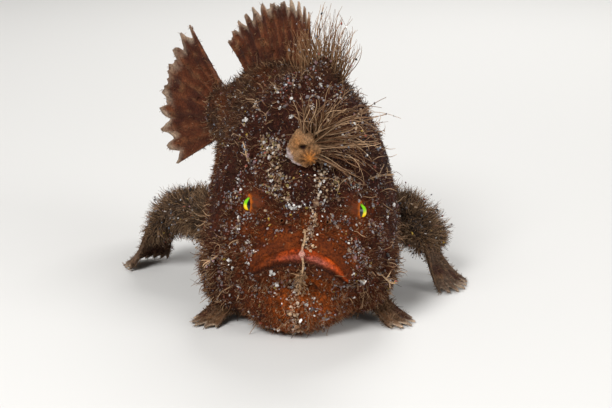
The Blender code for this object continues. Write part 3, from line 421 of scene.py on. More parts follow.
def tube(name, path, widths, sides, flats=None):
    """A closed tube along path, widths[i] in radius there and flats[i] times that in thickness."""
    path = np.array(path, float)
    flats = np.ones(len(path)) if flats is None else flats
    tangents = unit(np.gradient(path, axis=0))
    side = np.cross(tangents[0], (0.0, 0.0, 1.0))
    if np.linalg.norm(side) < 0.1:
        side = np.cross(tangents[0], (0.0, 1.0, 0.0))
    rings = []
    for point, radius, flat, tangent in zip(path, widths, flats, tangents):
        side = side - tangent * np.dot(side, tangent)
        side = side / np.linalg.norm(side)
        up = np.cross(tangent, side)
        rings.append([point + radius * (math.cos(a) * side + flat * math.sin(a) * up)
                      for a in circle(sides)])
    return loft(name, rings)


def joined(name, pieces):
    """One object of several meshes, which may cross one another."""
    work = bmesh.new()
    for piece in pieces:
        work.from_mesh(piece.data)
        bpy.data.objects.remove(piece, do_unlink=True)
    return worked(name, work)


def melted(obj, voxel, smoothing):
    """Crossing forms made one smooth surface."""
    remesh = obj.modifiers.new("Remesh", "REMESH")
    remesh.mode = "VOXEL"
    remesh.voxel_size = voxel
    smooth = obj.modifiers.new("Smooth", "SMOOTH")
    smooth.factor = 0.5
    smooth.iterations = smoothing
    graph = bpy.context.evaluated_depsgraph_get()
    mesh = bpy.data.meshes.new_from_object(obj.evaluated_get(graph))
    obj.modifiers.clear()
    obj.data = mesh
    return obj


def gathered(source, field):
    values = np.empty(len(source) * 3, np.float32)
    source.foreach_get(field, values)
    return values.reshape(-1, 3).astype(float)


def coordinates(obj):
    return gathered(obj.data.vertices, "co")


def normals_of(obj):
    return gathered(obj.data.vertex_normals, "vector")


def set_coordinates(obj, co):
    obj.data.vertices.foreach_set("co", np.asarray(co, np.float32).ravel())
    obj.data.update()


def bend(obj):
    """Moves a piece of the straight fish to the pose."""
    set_coordinates(obj, posed(coordinates(obj)))
    return obj


def kept_off_floor(obj):
    """Presses what would pass the floor back up to it."""
    co = coordinates(obj)
    low = co[:, 2] < FLOOR_GAP
    co[low, 2] = FLOOR_GAP + (co[low, 2] - FLOOR_GAP) * 0.02
    co[:, 2] = np.maximum(co[:, 2], 0.0)
    set_coordinates(obj, co)
    return obj


def set_attribute(obj, name, values):
    """Stores a number or a vector for each point of obj, for its material to read."""
    values = np.asarray(values, np.float32)
    kind, field = ("FLOAT", "value") if values.ndim == 1 else ("FLOAT_VECTOR", "vector")
    obj.data.attributes.new(name, kind, "POINT").data.foreach_set(field, values.ravel())


def plain(colour, count):
    return np.tile(np.array(colour, float), (count, 1))


def mixed(base, colour, share):
    """base turned to colour by share, point by point."""
    share = np.clip(share, 0, 1)[:, None]
    return base * (1 - share) + np.asarray(colour) * share


def painted(base, *layers):
    """base with layers over it, each a colour and its share."""
    for colour, share in layers:
        base = mixed(base, colour, share)
    return base


def varied(amount):
    """A factor round 1 for each point's colour."""
    return 1 + amount[:, None]


class Surface:
    """Finds points on a mesh, by rays and by nearness."""

    def __init__(self, obj):
        self.points = coordinates(obj)
        self.faces = [tuple(p.vertices) for p in obj.data.polygons]
        self.tree = BVHTree.FromPolygons([Vector(p) for p in self.points], self.faces)

    def hit(self, start, towards):
        return self.tree.ray_cast(Vector(start), Vector(towards).normalized())[:2]

    def front(self, x, z):
        return self.hit((x, -0.2, z), (0, 1, 0))

    def on_face(self, x, z):
        """The place and normal on the posed skin of a point of the straight fish's face."""
        there = posed([(x, FACE_Y, z)])[0]
        return [np.array(v) for v in self.front(there[0], there[2])]

    def gaps(self, points):
        return np.array([self.tree.find_nearest(Vector(p))[3] for p in points])


class Cover:
    """A skinned piece: its points, normals, triangles and what is known at each point."""

    def __init__(self, obj):
        self.obj = obj
        self.co = coordinates(obj)
        self.normals = normals_of(obj)
        mesh = obj.data
        mesh.calc_loop_triangles()
        triangles = np.empty(len(mesh.loop_triangles) * 3, np.int32)
        mesh.loop_triangles.foreach_get("vertices", triangles)
        self.triangles = triangles.reshape(-1, 3)
        a, b, c = (self.co[self.triangles[:, k]] for k in range(3))
        self.areas = np.linalg.norm(np.cross(b - a, c - a), axis=1) / 2
        self.fields = {}

    def sample(self, count, weight, rng):
        """Random places, denser where weight is larger, with the fields' values there."""
        share = self.areas * np.maximum(weight[self.triangles].mean(axis=1), 0)
        chosen = rng.choice(len(self.triangles), size=count, p=share / share.sum())
        mix = rng.random((count, 2))
        over = mix.sum(axis=1) > 1
        mix[over] = 1 - mix[over]
        mix = np.column_stack([1 - mix.sum(axis=1), mix])
        corners = self.triangles[chosen]

        def read(values):
            found = values[corners]
            return (found * (mix if found.ndim == 2 else mix[:, :, None])).sum(axis=1)

        found = {"place": read(self.co), "normal": read(self.normals)}
        found["normal"] /= np.linalg.norm(found["normal"], axis=1)[:, None]
        return found | {name: read(values) for name, values in self.fields.items()}


def many(name, forms, faces, colours, maps, patch):
    """One mesh of many closed forms alike in faces, each with its small patch of the coat's map."""
    count, each = forms.shape[:2]
    triangles = (faces[None] + (np.arange(count) * each)[:, None, None]).reshape(-1, 3)
    mesh = bpy.data.meshes.new(name)
    mesh.vertices.add(count * each)
    mesh.vertices.foreach_set("co", np.asarray(forms, np.float32).ravel())
    mesh.loops.add(len(triangles) * 3)
    mesh.loops.foreach_set("vertex_index", np.asarray(triangles, np.int32).ravel())
    mesh.polygons.add(len(triangles))
    mesh.polygons.foreach_set("loop_start", np.arange(0, 3 * len(triangles), 3, dtype=np.int32))
    mesh.update(calc_edges=True)
    mesh.shade_smooth()
    obj = linked(name, mesh)
    set_attribute(obj, "mark", np.repeat(colours, each, axis=0))
    uv = np.clip(np.repeat(maps, each, axis=0), 2 * PATCH, 1 - 2 * PATCH)
    uv = uv + np.tile(patch - 0.5, (count, 1)) * 2 * PATCH
    layer = mesh.uv_layers.new(name="OFBake")
    layer.data.foreach_set("uv", uv[triangles.ravel()].astype(np.float32).ravel())
    return obj


def strands(name, roots, ways, lengths, widths, bows, colours, maps, form, curl, taper, rng):
    """Tapered threads as one mesh of closed forms, each bowed and wavy.

    form is the number of points along a thread and round it.
    """
    count, (points, sides) = len(roots), form
    ways = unit(ways)
    across = unit(np.cross(ways, (0.31, 0.17, 0.93)))
    up = np.cross(across, ways)
    phase = rng.uniform(0, 2 * math.pi, (count, 2))
    rings = []
    for s in [i / (points - 1) for i in range(points)]:
        middle = roots + ways * (lengths * s)[:, None] + bows * (4 * s * (1 - s) + 0.6 * s**2)
        sway = curl * lengths * s
        middle = middle + across * (sway * np.sin(phase[:, 0] + 5.2 * s))[:, None]
        middle = middle + up * (sway * np.sin(phase[:, 1] + 4.4 * s))[:, None]
        radius = (widths / 2 * (1 - taper * s**1.6))[:, None]
        for a in [2 * math.pi * j / sides for j in range(sides)]:
            rings.append(middle + radius * (math.cos(a) * across + math.sin(a) * up))
    faces = [face for a, b, c, d in quads(points, sides) for face in ((a, b, c), (a, c, d))]
    top = (points - 1) * sides
    for j in range(1, sides - 1):
        faces += [(0, j + 1, j), (top, top + j, top + j + 1)]
    along = np.repeat(np.linspace(0, 1, points), sides)
    patch = np.column_stack([np.tile(np.arange(sides) / (sides - 1), points), along])
    obj = many(name, np.stack(rings, axis=1), np.array(faces)[:, ::-1], colours, maps, patch)
    set_attribute(obj, "along", np.tile(along, count))
    return obj


def pebbles(name, centres, normals, radii, colours, maps, rng):
    """Lumpy rounded grains as one mesh, a little flattened along their normals."""
    work = bmesh.new()
    bmesh.ops.create_icosphere(work, subdivisions=1, radius=1)
    base = np.array([v.co for v in work.verts])
    faces = np.array([[v.index for v in f.verts] for f in work.faces])
    work.free()
    count = len(centres)
    side = unit(np.cross(normals, (0.2, 0.3, 0.9)))
    up = np.cross(normals, side)
    turn = rng.uniform(0, 2 * math.pi, count)[:, None]
    a = side * np.cos(turn) + up * np.sin(turn)
    b = up * np.cos(turn) - side * np.sin(turn)
    stretch = rng.uniform(0.60, 1.40, (count, 3))
    lumps = varied(rng.normal(0, 0.18, (count, len(base))).reshape(-1)).reshape(count, -1, 1)
    local = base[None] * lumps * stretch[:, None, :] * radii[:, None, None]
    co = centres[:, None] + local[:, :, 0:1] * a[:, None] + local[:, :, 1:2] * b[:, None]
    co = co + local[:, :, 2:3] * normals[:, None] * 0.8
    obj = many(name, co, faces, colours, maps, base[:, :2] * 0.5 + 0.5)
    obj.data.shade_flat()
    return kept_off_floor(obj)


def round_map(points, centre, axis):
    """An unwrap of a rounded form: the angle from axis, seen from centre, laid out as a disc."""
    d = unit(points - np.array(centre))
    axis = np.array(axis, float) / np.linalg.norm(axis)
    right = np.cross(axis, (0, 0, 1))
    right /= np.linalg.norm(right)
    top = np.cross(right, axis)
    angle = np.arccos(np.clip(d @ axis, -1, 1)) / math.pi
    flat = np.column_stack([d @ right, d @ top])
    flat /= np.maximum(np.linalg.norm(flat, axis=1), 1e-9)[:, None]
    return 0.5 + flat * angle[:, None] * 0.49


def face_map(places):
    return round_map(places, (1.8 * MM, -12 * MM, 16 * MM), (0, -1, 0))


def head_map(found):
    return round_map(found["straight"], (0, -12 * MM, 16 * MM), (0, -1, 0))


def trunk_map(found):
    """An unwrap of the trunk and tail: round the body, and along it."""
    x, y, z = found["straight"].T
    middle = np.interp(y, [-33 * MM, 0, 36 * MM], [12 * MM, 19 * MM, 25 * MM])
    turn = np.arctan2(x, z - middle)
    along = (y + 34 * MM) / (72 * MM)
    return np.column_stack([0.5 + turn / (2 * math.pi) * 0.98, np.clip(along, 0, 1)])


def mouth_line(x):
    """Height of the mouth's line at x, seen from the front: its right corner is the higher one."""
    drop = np.where(x > 0, MOUTH_DROP_LEFT, MOUTH_DROP_RIGHT)
    return MOUTH_TOP - drop * np.abs(x / MOUTH_CORNER_X) ** MOUTH_BEND


def measures(s):
    """In millimetres, places s on the straight fish: x, y, z, off the midline, over the mouth."""
    x, y, z = (s / MM).T
    return x, y, z, np.abs(x), z - mouth_line(s[:, 0]) / MM


def from_eye(wide, y, z):
    return np.sqrt((wide - EYE_X / MM) ** 2 + (y - EYE_Y / MM) ** 2 + (z - EYE_Z / MM) ** 2)


def lip_taper(wide):
    """How much of its full height the upper lip has, full at the middle."""
    return np.clip(1 - 0.74 * (wide * MM / MOUTH_CORNER_X) ** 1.7, 0.16, 1)


def flesh_marks(s):
    """The markings at places s on the straight fish, with shade painted in and under the mouth's
    line and highlight painted along the lip.
    """
    x, y, z, wide, over = measures(s)
    big, small, fine = (noise(s, size * MM, seed) for size, seed in ((5, 1), (1.6, 2), (0.6, 3)))
    streak = noise(s * (0.30, 0.5, 1.7), 1.5 * MM, 6)
    face = ramp(-y, 16, 8)
    chin = bell(x, 1.6, 8.0) * ramp(-over, 0.9, 2.4) * face
    blotch = ramp(noise(s, 3.2 * MM, 5), 0.15, 0.4) * (0.25 + 0.35 * ramp(z, 18, 6))
    colour = painted(
        plain(RUST, len(s)),
        (MAROON, ramp(z + 3 * big, 20, 6) * 0.80),
        (MAROON, ramp(wide + 2.2 * big, 9.5, 4) * 0.55),
        (UMBER, ramp(y + 3 * big, -8, 12) * 0.75),
        (BELLY, ramp(2 * big - z, -5.5, 6) * ramp(y, -20, 10) * 0.7),
        (FOLD_BROWN, ramp(noise(s, 4.2 * MM, 8), 0.05, 0.35) * ramp(y, -10, 10) * 0.55),
        (ORANGE, chin * (0.78 + 0.40 * big)),
        (ORANGE, bell(x, 0, 7.0) * bell(over, 3.6, 2.6) * face * (0.50 + 0.35 * small)),
        (ORANGE,
         bell(wide, 7.0, 4.2) * bell(z, 15.5, 5.0) * face * ramp(streak, -0.15, 0.5) * 0.55),
        (RUST, ramp(wide, 8, 3) * face * ramp(streak, 0.1, 0.4) * 0.7),
        (SHADE, blotch * (1 - chin)),
        (SHADE, ramp(noise(s, 0.9 * MM, 7), 0.38, 0.2) * 0.55),
    ) * varied(0.30 * small + 0.26 * fine)
    mouth = fade(wide, MOUTH_CORNER_X / MM * 1.02, 1.2) * face
    taper = lip_taper(wide)
    half = 1.05 * taper
    lip = fade(np.abs(over - half) / half, 0.72, 0.5) * mouth
    red = painted(
        plain(LIP_RED, len(s)),
        (LIP_BROWN, ramp(1.5 * small - x, 1.0, 4.5) * 0.8),
        (LIP_BRIGHT, bell(x, 5.6, 2.4) * 0.85),
        (FOLD_BROWN, ramp(noise(s, 0.9 * MM, 9), 0.1, 0.5) * 0.5),
    )
    colour = painted(
        colour,
        (FOLD_BROWN, bell(over, 2.1 * taper + 1.0, 0.85) * mouth * 0.85),
        (red * varied(0.30 * fine), lip),
    )
    across = noise(s * (1.0, 0.2, 0.2), 0.42 * MM, 12)
    # Streaks along the lip's length, lighter and darker: partly the lip's own tone, partly painted
    # highlight
    along = noise(s * (0.18, 0.6, 1.0), 0.45 * MM, 13)
    arcs = ramp(np.sin(over * 2.5 + 1.0 + 1.3 * noise(s, 2.5 * MM, 25)), 0.1, 0.7)
    arcs = arcs * bell(over, -4.0, 2.2) * bell(x, 2.4, 5.5) * face
    return painted(
        colour * varied(lip * (0.42 * across + 0.30 * along)),
        (LIP_PINK, bell(over, 0.30, 0.36) * bell(x, 1.0, 3.2) * face * (0.88 + 0.5 * along)),
        (BAND_BROWN, arcs * (0.75 + 0.4 * small)),
        # Brown band under the upper lip: partly the lower lip's own brown, partly painted shade
        # under the upper lip
        (BAND_BROWN, bell(over, -1.1, 0.9) * mouth * 0.85),
        # Painted shade: a dark line in the groove of the mouth's line
        (SHADE, bell(over, -0.36, 0.27) * mouth * 0.8),
        (ORANGE, bell(from_eye(wide, y, z), 2.2, 0.8) * 0.22),
    )


def bareness(s):
    """1 on the smooth skin of the lips and round the eyes, 0 where the coat grows."""
    _, y, z, wide, over = measures(s)
    top = 2.1 * lip_taper(wide) + 1.4
    lips = ramp(over, -1.0, 0.7) * fade(over, top, 0.9) * fade(wide, 7.8, 1.2) * ramp(-y, 19, 3)
    return np.maximum(lips, fade(from_eye(wide, y, z), 1.75, 0.4))


def face_forms(skin):
    """The forms that are laid on the body: lips, chin, cheeks, eye mounds, snout and nape."""
    forms = []
    for above, radius, proud, reach in LIP_ROLLS:
        route = []
        for share in np.linspace(-reach, reach, 13):
            x = share * MOUTH_CORNER_X
            z = mouth_line(x) + above * (1 - 0.35 * share**2)
            route.append((x, skin.front(x, z)[0].y + radius * 0.45 - proud, z))
        widths = [radius * (1 - 0.55 * abs(s) ** 3) for s in np.linspace(-1, 1, 61)]
        forms.append(tube("lip", curved(route, 61), widths, 24))
    for centre, radii in FACE_MASSES:
        for side in (-1, 1) if centre[0] else (1,):
            place = Vector((side * centre[0], *centre[1:])) * MM
            forms.append(ellipsoid("mass", place, Vector(radii) * MM))
    return forms


def shoulder(side):
    return Vector((side * ARM_ROUTE[0][0], *ARM_ROUTE[0][1:])) * MM


def at_shoulder(obj, side, label):
    """Moves obj level and in one piece, as the flesh at the shoulder moves, and turns it there."""
    anchor = shoulder(side)
    there = Vector(posed([anchor])[0])
    there.z = anchor.z
    turn = Matrix.Rotation(ARM_TURNS[label], 4, "Z")
    obj.data.transform(Matrix.Translation(there) @ turn @ Matrix.Translation(-anchor))
    return obj


def mirrored(route, side):
    return [np.array((side * x, y, z)) * MM for x, y, z in route]


def arm(side, label):
    along = np.linspace(0, 1, 23)
    widths = np.interp(along, (0, 0.45, 1), ARM_RADII)
    flats = np.interp(along, (0, 0.6, 1), ARM_FLATS)
    path = curved(mirrored(ARM_ROUTE, side), 23)
    return at_shoulder(tube("arm", path, widths, 28, flats), side, label)


def leg_route(side, label):
    route = mirrored(LEG_ROUTE, side)
    for share, point in zip((0.0, 0.5, 1.0), route):
        point[0] += share * LEG_SHIFTS[label]
    return route


def leg(side, label):
    return tube("leg", curved(leg_route(side, label), 17), np.linspace(2.6, 1.7, 17) * MM, 20)


def stalk(route, widths):
    path = curved([Vector(p) * MM for p in route], 17)
    return bend(tube("stalk", path, np.linspace(*widths, 17) * MM, 24))


def build_skin():
    """One skin for head, jaw, trunk, tail, arms, legs and the stalks of the spines."""
    body = loft("body", body_rings())
    flesh = joined("flesh", [body, *face_forms(Surface(body))])
    flesh = melted(flesh, FLESH_VOXEL, FLESH_SMOOTHING)
    straight = coordinates(flesh)
    origin = Surface(bend(flesh))
    limbs = {f"{kind}_{label}": make(side, label)
             for kind, make in (("arm", arm), ("leg", leg)) for side, label in SIDES}
    limbs["stalk_2"] = stalk(SPINE_2_ROUTE, (2.1, 1.5))
    limbs["stalk_3"] = stalk(SPINE_3_ROUTE, (4.2, 2.3))
    near = {name: Surface(obj) for name, obj in limbs.items()}
    skin = melted(joined("skin", [flesh, *limbs.values()]), SKIN_VOXEL, SKIN_SMOOTHING)
    co = coordinates(skin)
    s = np.empty_like(co)
    for i, point in enumerate(co):
        place, _, face, _ = origin.tree.find_nearest(Vector(point))
        corners = list(origin.faces[face])
        gaps = np.linalg.norm(origin.points[corners] - np.array(place), axis=1) + 1e-7
        s[i] = (1 / gaps) / (1 / gaps).sum() @ straight[corners]
    share = {}
    for name, surface in near.items():
        low, high = surface.points.min(axis=0) - 3 * MM, surface.points.max(axis=0) + 3 * MM
        inside = np.flatnonzero(((co > low) & (co < high)).all(axis=1))
        nearer = (origin.gaps(co[inside]) - surface.gaps(co[inside])) / (1.2 * MM)
        share[name] = np.zeros(len(co))
        share[name][inside] = ramp(nearer + 0.15, 0, 1)
    carve(Cover(skin), s)
    cover = Cover(skin)
    spots = noise(cover.co, 2.2 * MM, 11)
    arms = np.maximum(share["arm_left"], share["arm_right"])
    legs = np.maximum(share["leg_left"], share["leg_right"])
    colour = painted(
        flesh_marks(s),
        (np.array(GREY_BROWN) * varied(0.35 * spots), arms),
        (np.array(BELLY) * varied(0.3 * spots), 0.8 * legs),
        (OCHRE, share["stalk_2"] * 0.5),
        (UMBER, share["stalk_3"] * 0.6),
    )
    cover.fields = {
        "mark": np.clip(colour, 0.004, 0.9),
        "straight": s,
        "head": fade(s[:, 1], -7 * MM, 3 * MM),
        "bare": bareness(s) * (1 - arms),
        "arms": arms,
        "arm_left": share["arm_left"],
        "arm_right": share["arm_right"],
    }
    set_attribute(skin, "mark", cover.fields["mark"])
    set_attribute(skin, "bare", 0.75 * cover.fields["bare"])
    return cover


def carve(cover, s):
    """Sculpts the skin: the mouth's line, folds and a pebbled surface."""
    co = cover.co
    x, y, z, wide, over = measures(s)
    face = ramp(-y, 20, 4)
    reach = fade(wide, 8.2, 1.2)
    taper = lip_taper(wide)
    inward = bell(over, -0.38, 0.33) * 0.62 * reach * face
    fold = bell(over, 2.15 * taper, 0.27) * 0.42 * reach * face
    top = bell(over, 2.1 * taper + 2.2, 0.34) * 0.30 * bell(x, 0, 5.6) * face
    crease = bell(over, -2.4, 0.30) * 0.16 * bell(x, 1.5, 5.0) * face
    arcs = np.maximum(np.sin(over * 3.9 + 1.1 * noise(s, 2.5 * MM, 25)), 0) * 0.13
    arcs = arcs * bell(over, -4.2, 2.2) * bell(x, 3.0, 5.0) * face
    corner = bell(wide, 9.0, 0.7) * bell(z, 9.0, 2.4) * 0.32 * face
    granules = np.maximum(noise(co, 0.75 * MM, 21), -0.2) * 0.17 + 0.08 * noise(co, 0.5 * MM, 22)
    lumps = 0.20 * noise(co, 2.6 * MM, 23) + 0.12 * noise(co, 1.4 * MM, 26)
    wrinkle = 0.05 * np.sin(over * 7.5 + 1.6 * noise(s, 2.2 * MM, 24)) * bell(over, 1.2, 3.2)
    out = -SKIN_INSET - inward - fold - top - crease - arcs - corner
    out = out + (granules + lumps) * (1 - 0.88 * bareness(s)) + wrinkle * face * fade(wide, 5, 3)
    moved = co + cover.normals * (out * MM)[:, None]
    moved[:, 2] = np.maximum(moved[:, 2], 0.0)
    set_coordinates(cover.obj, moved)


def flow_of(found):
    """The lie of the coat: back along the body and down."""
    flow = plain((0.0, 0.75, -0.55), len(found["place"]))
    dot = (flow * found["normal"]).sum(axis=1)[:, None]
    return unit(flow - found["normal"] * dot)


def hair_tones(colours, rng, pale_share):
    """The skin's own colours with a little chance from hair to hair, and a share of pale hairs."""
    count = len(colours)
    tone = colours * rng.normal(1.0, 0.22, (count, 1))
    light = rng.random((count, 1)) < pale_share
    share = np.where(light, rng.uniform(0.40, 0.95, (count, 1)), rng.uniform(0.0, 0.10, (count, 1)))
    pale = np.array(TAN) + (np.array(BEIGE) - np.array(TAN)) * rng.random((count, 1))
    return np.clip(tone * (1 - share) + pale * share, 0.003, 0.9)


def thread_tones(count, rng):
    """Brown to beige, a few of them pale."""
    tone = np.array(THREAD_BROWN) * rng.uniform(0.45, 1.45, (count, 1))
    share = rng.random((count, 1)) ** 2.5 * 0.8
    return tone * (1 - share) + np.array(BEIGE) * share


def grain_tones(count, rng, palette=MIXED_GRAINS):
    tones, share = (np.array(column) for column in zip(*palette))
    return tones[rng.choice(len(tones), size=count, p=share / share.sum())]


def fuzz(name, cover, count, weight, length, width, lift, seed, to_map, pale_share, form=HAIR):
    """Short soft tufts over a piece, a few hairs from one root, in the piece's own markings."""
    rng = np.random.default_rng(SEED + seed)
    tufts = count // HAIRS_PER_TUFT
    found = cover.sample(tufts, weight, rng)
    found = {key: np.repeat(values, HAIRS_PER_TUFT, axis=0) for key, values in found.items()}
    count = len(found["place"])
    normal = found["normal"]
    own = rng.normal(0, 1, (count, 3))
    tuft = np.repeat(rng.normal(0, 1, (tufts, 3)), HAIRS_PER_TUFT, axis=0)
    way = unit(normal * lift + flow_of(found) * 0.60 + tuft * 0.26 + own * 0.34)
    aside = unit(own - normal * (own * normal).sum(axis=1)[:, None])
    roots = found["place"] + aside * rng.uniform(0.0, 0.32, (count, 1)) * MM - normal * 0.14 * MM
    reach = length(found) * rng.uniform(0.5, 1.35, count)
    bows = (tuft * 0.08 + own * 0.10 - normal * 0.10) * reach[:, None]
    widths = width * rng.uniform(0.7, 1.35, count)
    colours = hair_tones(found["mark"], rng, (pale_share * found["pale"])[:, None])
    return kept_off_floor(strands(name, roots, way, reach, widths, bows, colours, to_map(found),
                                  form, 0.14, 0.80, rng))


def grains(name, cover, count, weight, size, seed, to_map, palette=MIXED_GRAINS, proud=0.35):
    """Small pale warts of the skin, each half sunk in it."""
    rng = np.random.default_rng(SEED + seed)
    found = cover.sample(count, weight, rng)
    radii = size * MM * (0.55 + 0.5 * rng.random(count) + 1.1 * rng.random(count) ** 6)
    lift = (radii * rng.uniform(0.2, 1, count) * proud * 1.7)[:, None]
    own = rng.random((count, 1)) ** 2 * 0.6
    colours = grain_tones(count, rng, palette) * (1 - own) + found["mark"] * own
    colours = np.clip(colours * rng.uniform(0.55, 1.1, (count, 1)), 0.01, 0.85)
    return pebbles(name, found["place"] + found["normal"] * lift, found["normal"], radii, colours,
                   to_map(found), rng)


def beads_on(threads, form, count, rng):
    """Small grains caught on the threads, each at a ring of one of them."""
    points, sides = form
    rings = coordinates(threads).reshape(-1, points, sides, 3).mean(axis=2)
    which, ring = rng.integers(0, len(rings), count), rng.integers(points // 2, points, count)
    centres = rings[which, ring]
    radii = rng.uniform(0.10, 0.24, count) * MM
    tones = grain_tones(count, rng) * rng.uniform(0.6, 1.2, (count, 1))
    return pebbles(threads.name + "_grains", centres, unit(rng.normal(0, 1, (count, 3))), radii,
                   tones, face_map(centres), rng)


def large_warts(surface):
    rng = np.random.default_rng(SEED + 6)
    places, normals, radii = [], [], []
    for x, z, radius in LARGE_WARTS:
        place, normal = surface.front(x * MM, z * MM)
        for share in WART_SHARES:
            aside = Vector(rng.normal(0, 0.48 if share < 0.8 else 0.1, 3)) * radius
            places.append(place + (normal * radius * 0.3 + aside) * MM)
            normals.append(normal)
            radii.append(radius * share * MM)
    places = np.array(places)
    colours = np.array(WHITE) * rng.uniform(0.35, 1.0, (len(places), 1))
    return pebbles("warts_large", places, np.array(normals), np.array(radii), colours,
                   face_map(places), rng)


def tendrils(surface):
    """The long forked threads of brows and cheeks, with grains along them."""
    rng = np.random.default_rng(SEED + 7)
    threads, beads = [], []
    for x, z, way, length in TENDRILS:
        place, normal = surface.on_face(x * MM, z * MM)
        way = np.array(Vector(way).normalized())
        bow = normal * 0.45 + rng.normal(0, 0.25, 3)

        def along(share):
            out = way * length * share + bow * 4 * share * (1 - share)
            return place - normal * 0.4 * MM + out * MM

        for share, reach, spread, width in BRANCHES:
            turned = way + rng.normal(0, 1, 3) * spread
            threads.append((along(share), turned, length * reach * MM, width * MM,
                            bow * reach * MM))
        for share in rng.uniform(0.05, 0.9, 11):
            beads.append(along(share) + rng.normal(0, 0.22, 3) * MM)
    roots, ways, lengths, widths, bows = (np.array(column) for column in zip(*threads))
    colours = np.array(BEIGE) * rng.uniform(0.7, 1.1, (len(roots), 1))
    threads = strands("tendrils", roots, ways, lengths, widths, bows, colours, face_map(roots),
                      TENDRIL, 0.05, 0.62, rng)
    beads = np.array(beads)
    outward = unit(rng.normal(0, 1, beads.shape))
    grit = pebbles("tendril_warts", beads, outward, rng.uniform(0.11, 0.24, len(beads)) * MM,
                   grain_tones(len(beads), rng) * rng.uniform(0.6, 1.1, (len(beads), 1)),
                   face_map(beads), rng)
    return threads, grit


def forehead_threads(surface):
    """Fine curved threads that hang over the forehead, below the second spine."""
    rng = np.random.default_rng(SEED + 8)
    count = FOREHEAD_THREADS
    threads = []
    for x, z in zip(rng.uniform(-2.0, 6.5, count), rng.uniform(25.5, 31.5, count)):
        place, normal = surface.on_face(x * MM, z * MM)
        down = np.array((rng.normal(0.15, 0.5), 0, -1.0))
        down = down - normal * (down @ normal)
        bow = normal * 0.5 + np.array((rng.normal(0, 0.9), 0, rng.normal(0, 0.2)))
        threads.append((place - normal * 0.25 * MM, down + normal * 0.12, bow * MM))
    roots, ways, bows = (np.array(column) for column in zip(*threads))
    colours = thread_tones(count, rng) * 1.1
    return strands("forehead_threads", roots, ways, rng.uniform(2.4, 5.2, count) * MM,
                   rng.uniform(0.11, 0.18, count) * MM, bows, colours, face_map(roots),
                   FOREHEAD_THREAD, 0.10, 0.62, rng)


def pores(name, spots):
    """Short tubes that stand on the skin, each with a pit in its end, darkened with painted shade.
    """
    made = []
    for place, normal, radius, height in spots:
        turn = Vector(normal).to_track_quat("Z", "Y").to_matrix()
        rings = []
        for across, up in curved(PORE_PROFILE, PORE_RINGS):
            ring = []
            for angle in circle(PORE_SIDES):
                wide = across * radius * (1 + 0.07 * math.sin(3 * angle + 1))
                flat = (math.cos(angle) * wide, math.sin(angle) * wide)
                ring.append(Vector(place) + turn @ Vector((*flat, up * height)))
            rings.append(ring)
        made.append(loft("pore", rings))
    obj = joined(name, made)
    depth = np.tile(loft_shares(PORE_RINGS, PORE_SIDES), len(spots))
    # The pit in each pore's end is darkened with painted shade
    colour = painted(plain(RUST, len(depth)) * 1.3, (TAN, bell(depth, 0.6, 0.12) * 0.5),
                     (SHADE, ramp(depth, 0.72, 0.12)))
    set_attribute(obj, "mark", colour)
    obj.data.shade_smooth()
    return obj


def fin(name, rays, first, ray, notch, root_thick, tip_thick=TIP_THICK):
    """A fin: a curved web between rays, which stand out of it as ridges and end in free tips.

    ray(share) gives the root, the tip and the control point of the ray at share, first to 1.
    """
    roots, tips, mids = zip(*(ray(share) for share in np.linspace(first, 1, rays)))
    rows, columns = FIN_ROWS + 1, (rays - 1) * STEPS_PER_RAY + 1
    at = np.linspace(0, rays - 1, columns)
    root, mid, tip = (through(points, at) for points in (roots, mids, tips))
    between = 0.5 - 0.5 * np.cos(2 * math.pi * at)
    ridge = (1 - between) ** 3
    along = np.linspace(0, 1, rows)
    ragged = 0.035 * np.sin(at * 7.3) + 0.02 * np.sin(at * 17.1)
    grid = np.empty((rows, columns, 3))
    for i, t in enumerate(along):
        reach = (t * (1 - notch * between - 0.02 + ragged * t * t))[:, None]
        grid[i] = root * (1 - reach) ** 2 + 2 * mid * reach * (1 - reach) + tip * reach**2
    normal = np.cross(np.gradient(grid, axis=0), np.gradient(grid, axis=1))
    normal /= np.linalg.norm(normal, axis=2)[:, :, None]
    thick = root_thick + (tip_thick - root_thick) * along[:, None]
    thick = thick * (WEB_THICKNESS + (1 - WEB_THICKNESS) * ridge[None, :])
    thick = thick * (1 - 0.5 * along[:, None] ** 6)
    joints = 1 + 0.10 * np.sin(along * 46)[:, None] * ridge[None, :]
    half = normal * (thick * joints)[:, :, None] / 2
    points = [*(grid + half).reshape(-1, 3), *(grid - half).reshape(-1, 3)]
    shift = rows * columns
    faces = []
    for a, b, c, d in quads(rows, columns, closed_columns=False):
        faces += [(a, b, c, d), (shift + a, shift + d, shift + c, shift + b)]
    number = np.arange(shift).reshape(rows, columns)
    rim = [*number[0], *number[1:, -1], *number[-1, -2::-1], *number[-2:0:-1, 0]]
    faces += [(a, shift + a, shift + b, b) for a, b in zip(rim, rim[1:] + rim[:1])]
    obj = face_out(new_object(name, points, [tuple(map(int, face)) for face in faces]))
    obj.data.shade_smooth()
    return obj, np.tile(ridge, 2 * rows), np.tile(np.repeat(along, columns), 2)


def bent(root, reach, lift):
    """A ray from root that reaches so far, its middle moved by lift."""
    tip = root + np.array(reach)
    return root, tip, (root + tip) / 2 + np.array(lift)


def dorsal_ray(share):
    y = DORSAL_START_Y + share * (DORSAL_END_Y - DORSAL_START_Y)
    tilt = math.radians(6 + 44 * share)
    rise = 0.70 + 0.42 * math.sin(math.pi * (0.12 + 0.74 * share)) - 0.12 * share
    length = ROOT_DEPTH + DORSAL_HEIGHT * rise
    reach = (0.7 * MM * math.sin(5 * share), length * math.sin(tilt), length * math.cos(tilt))
    root = np.array((0, y, section_height(y, 2) - ROOT_DEPTH))
    return bent(root, reach, (0, -0.6 * MM, 0.5 * MM))


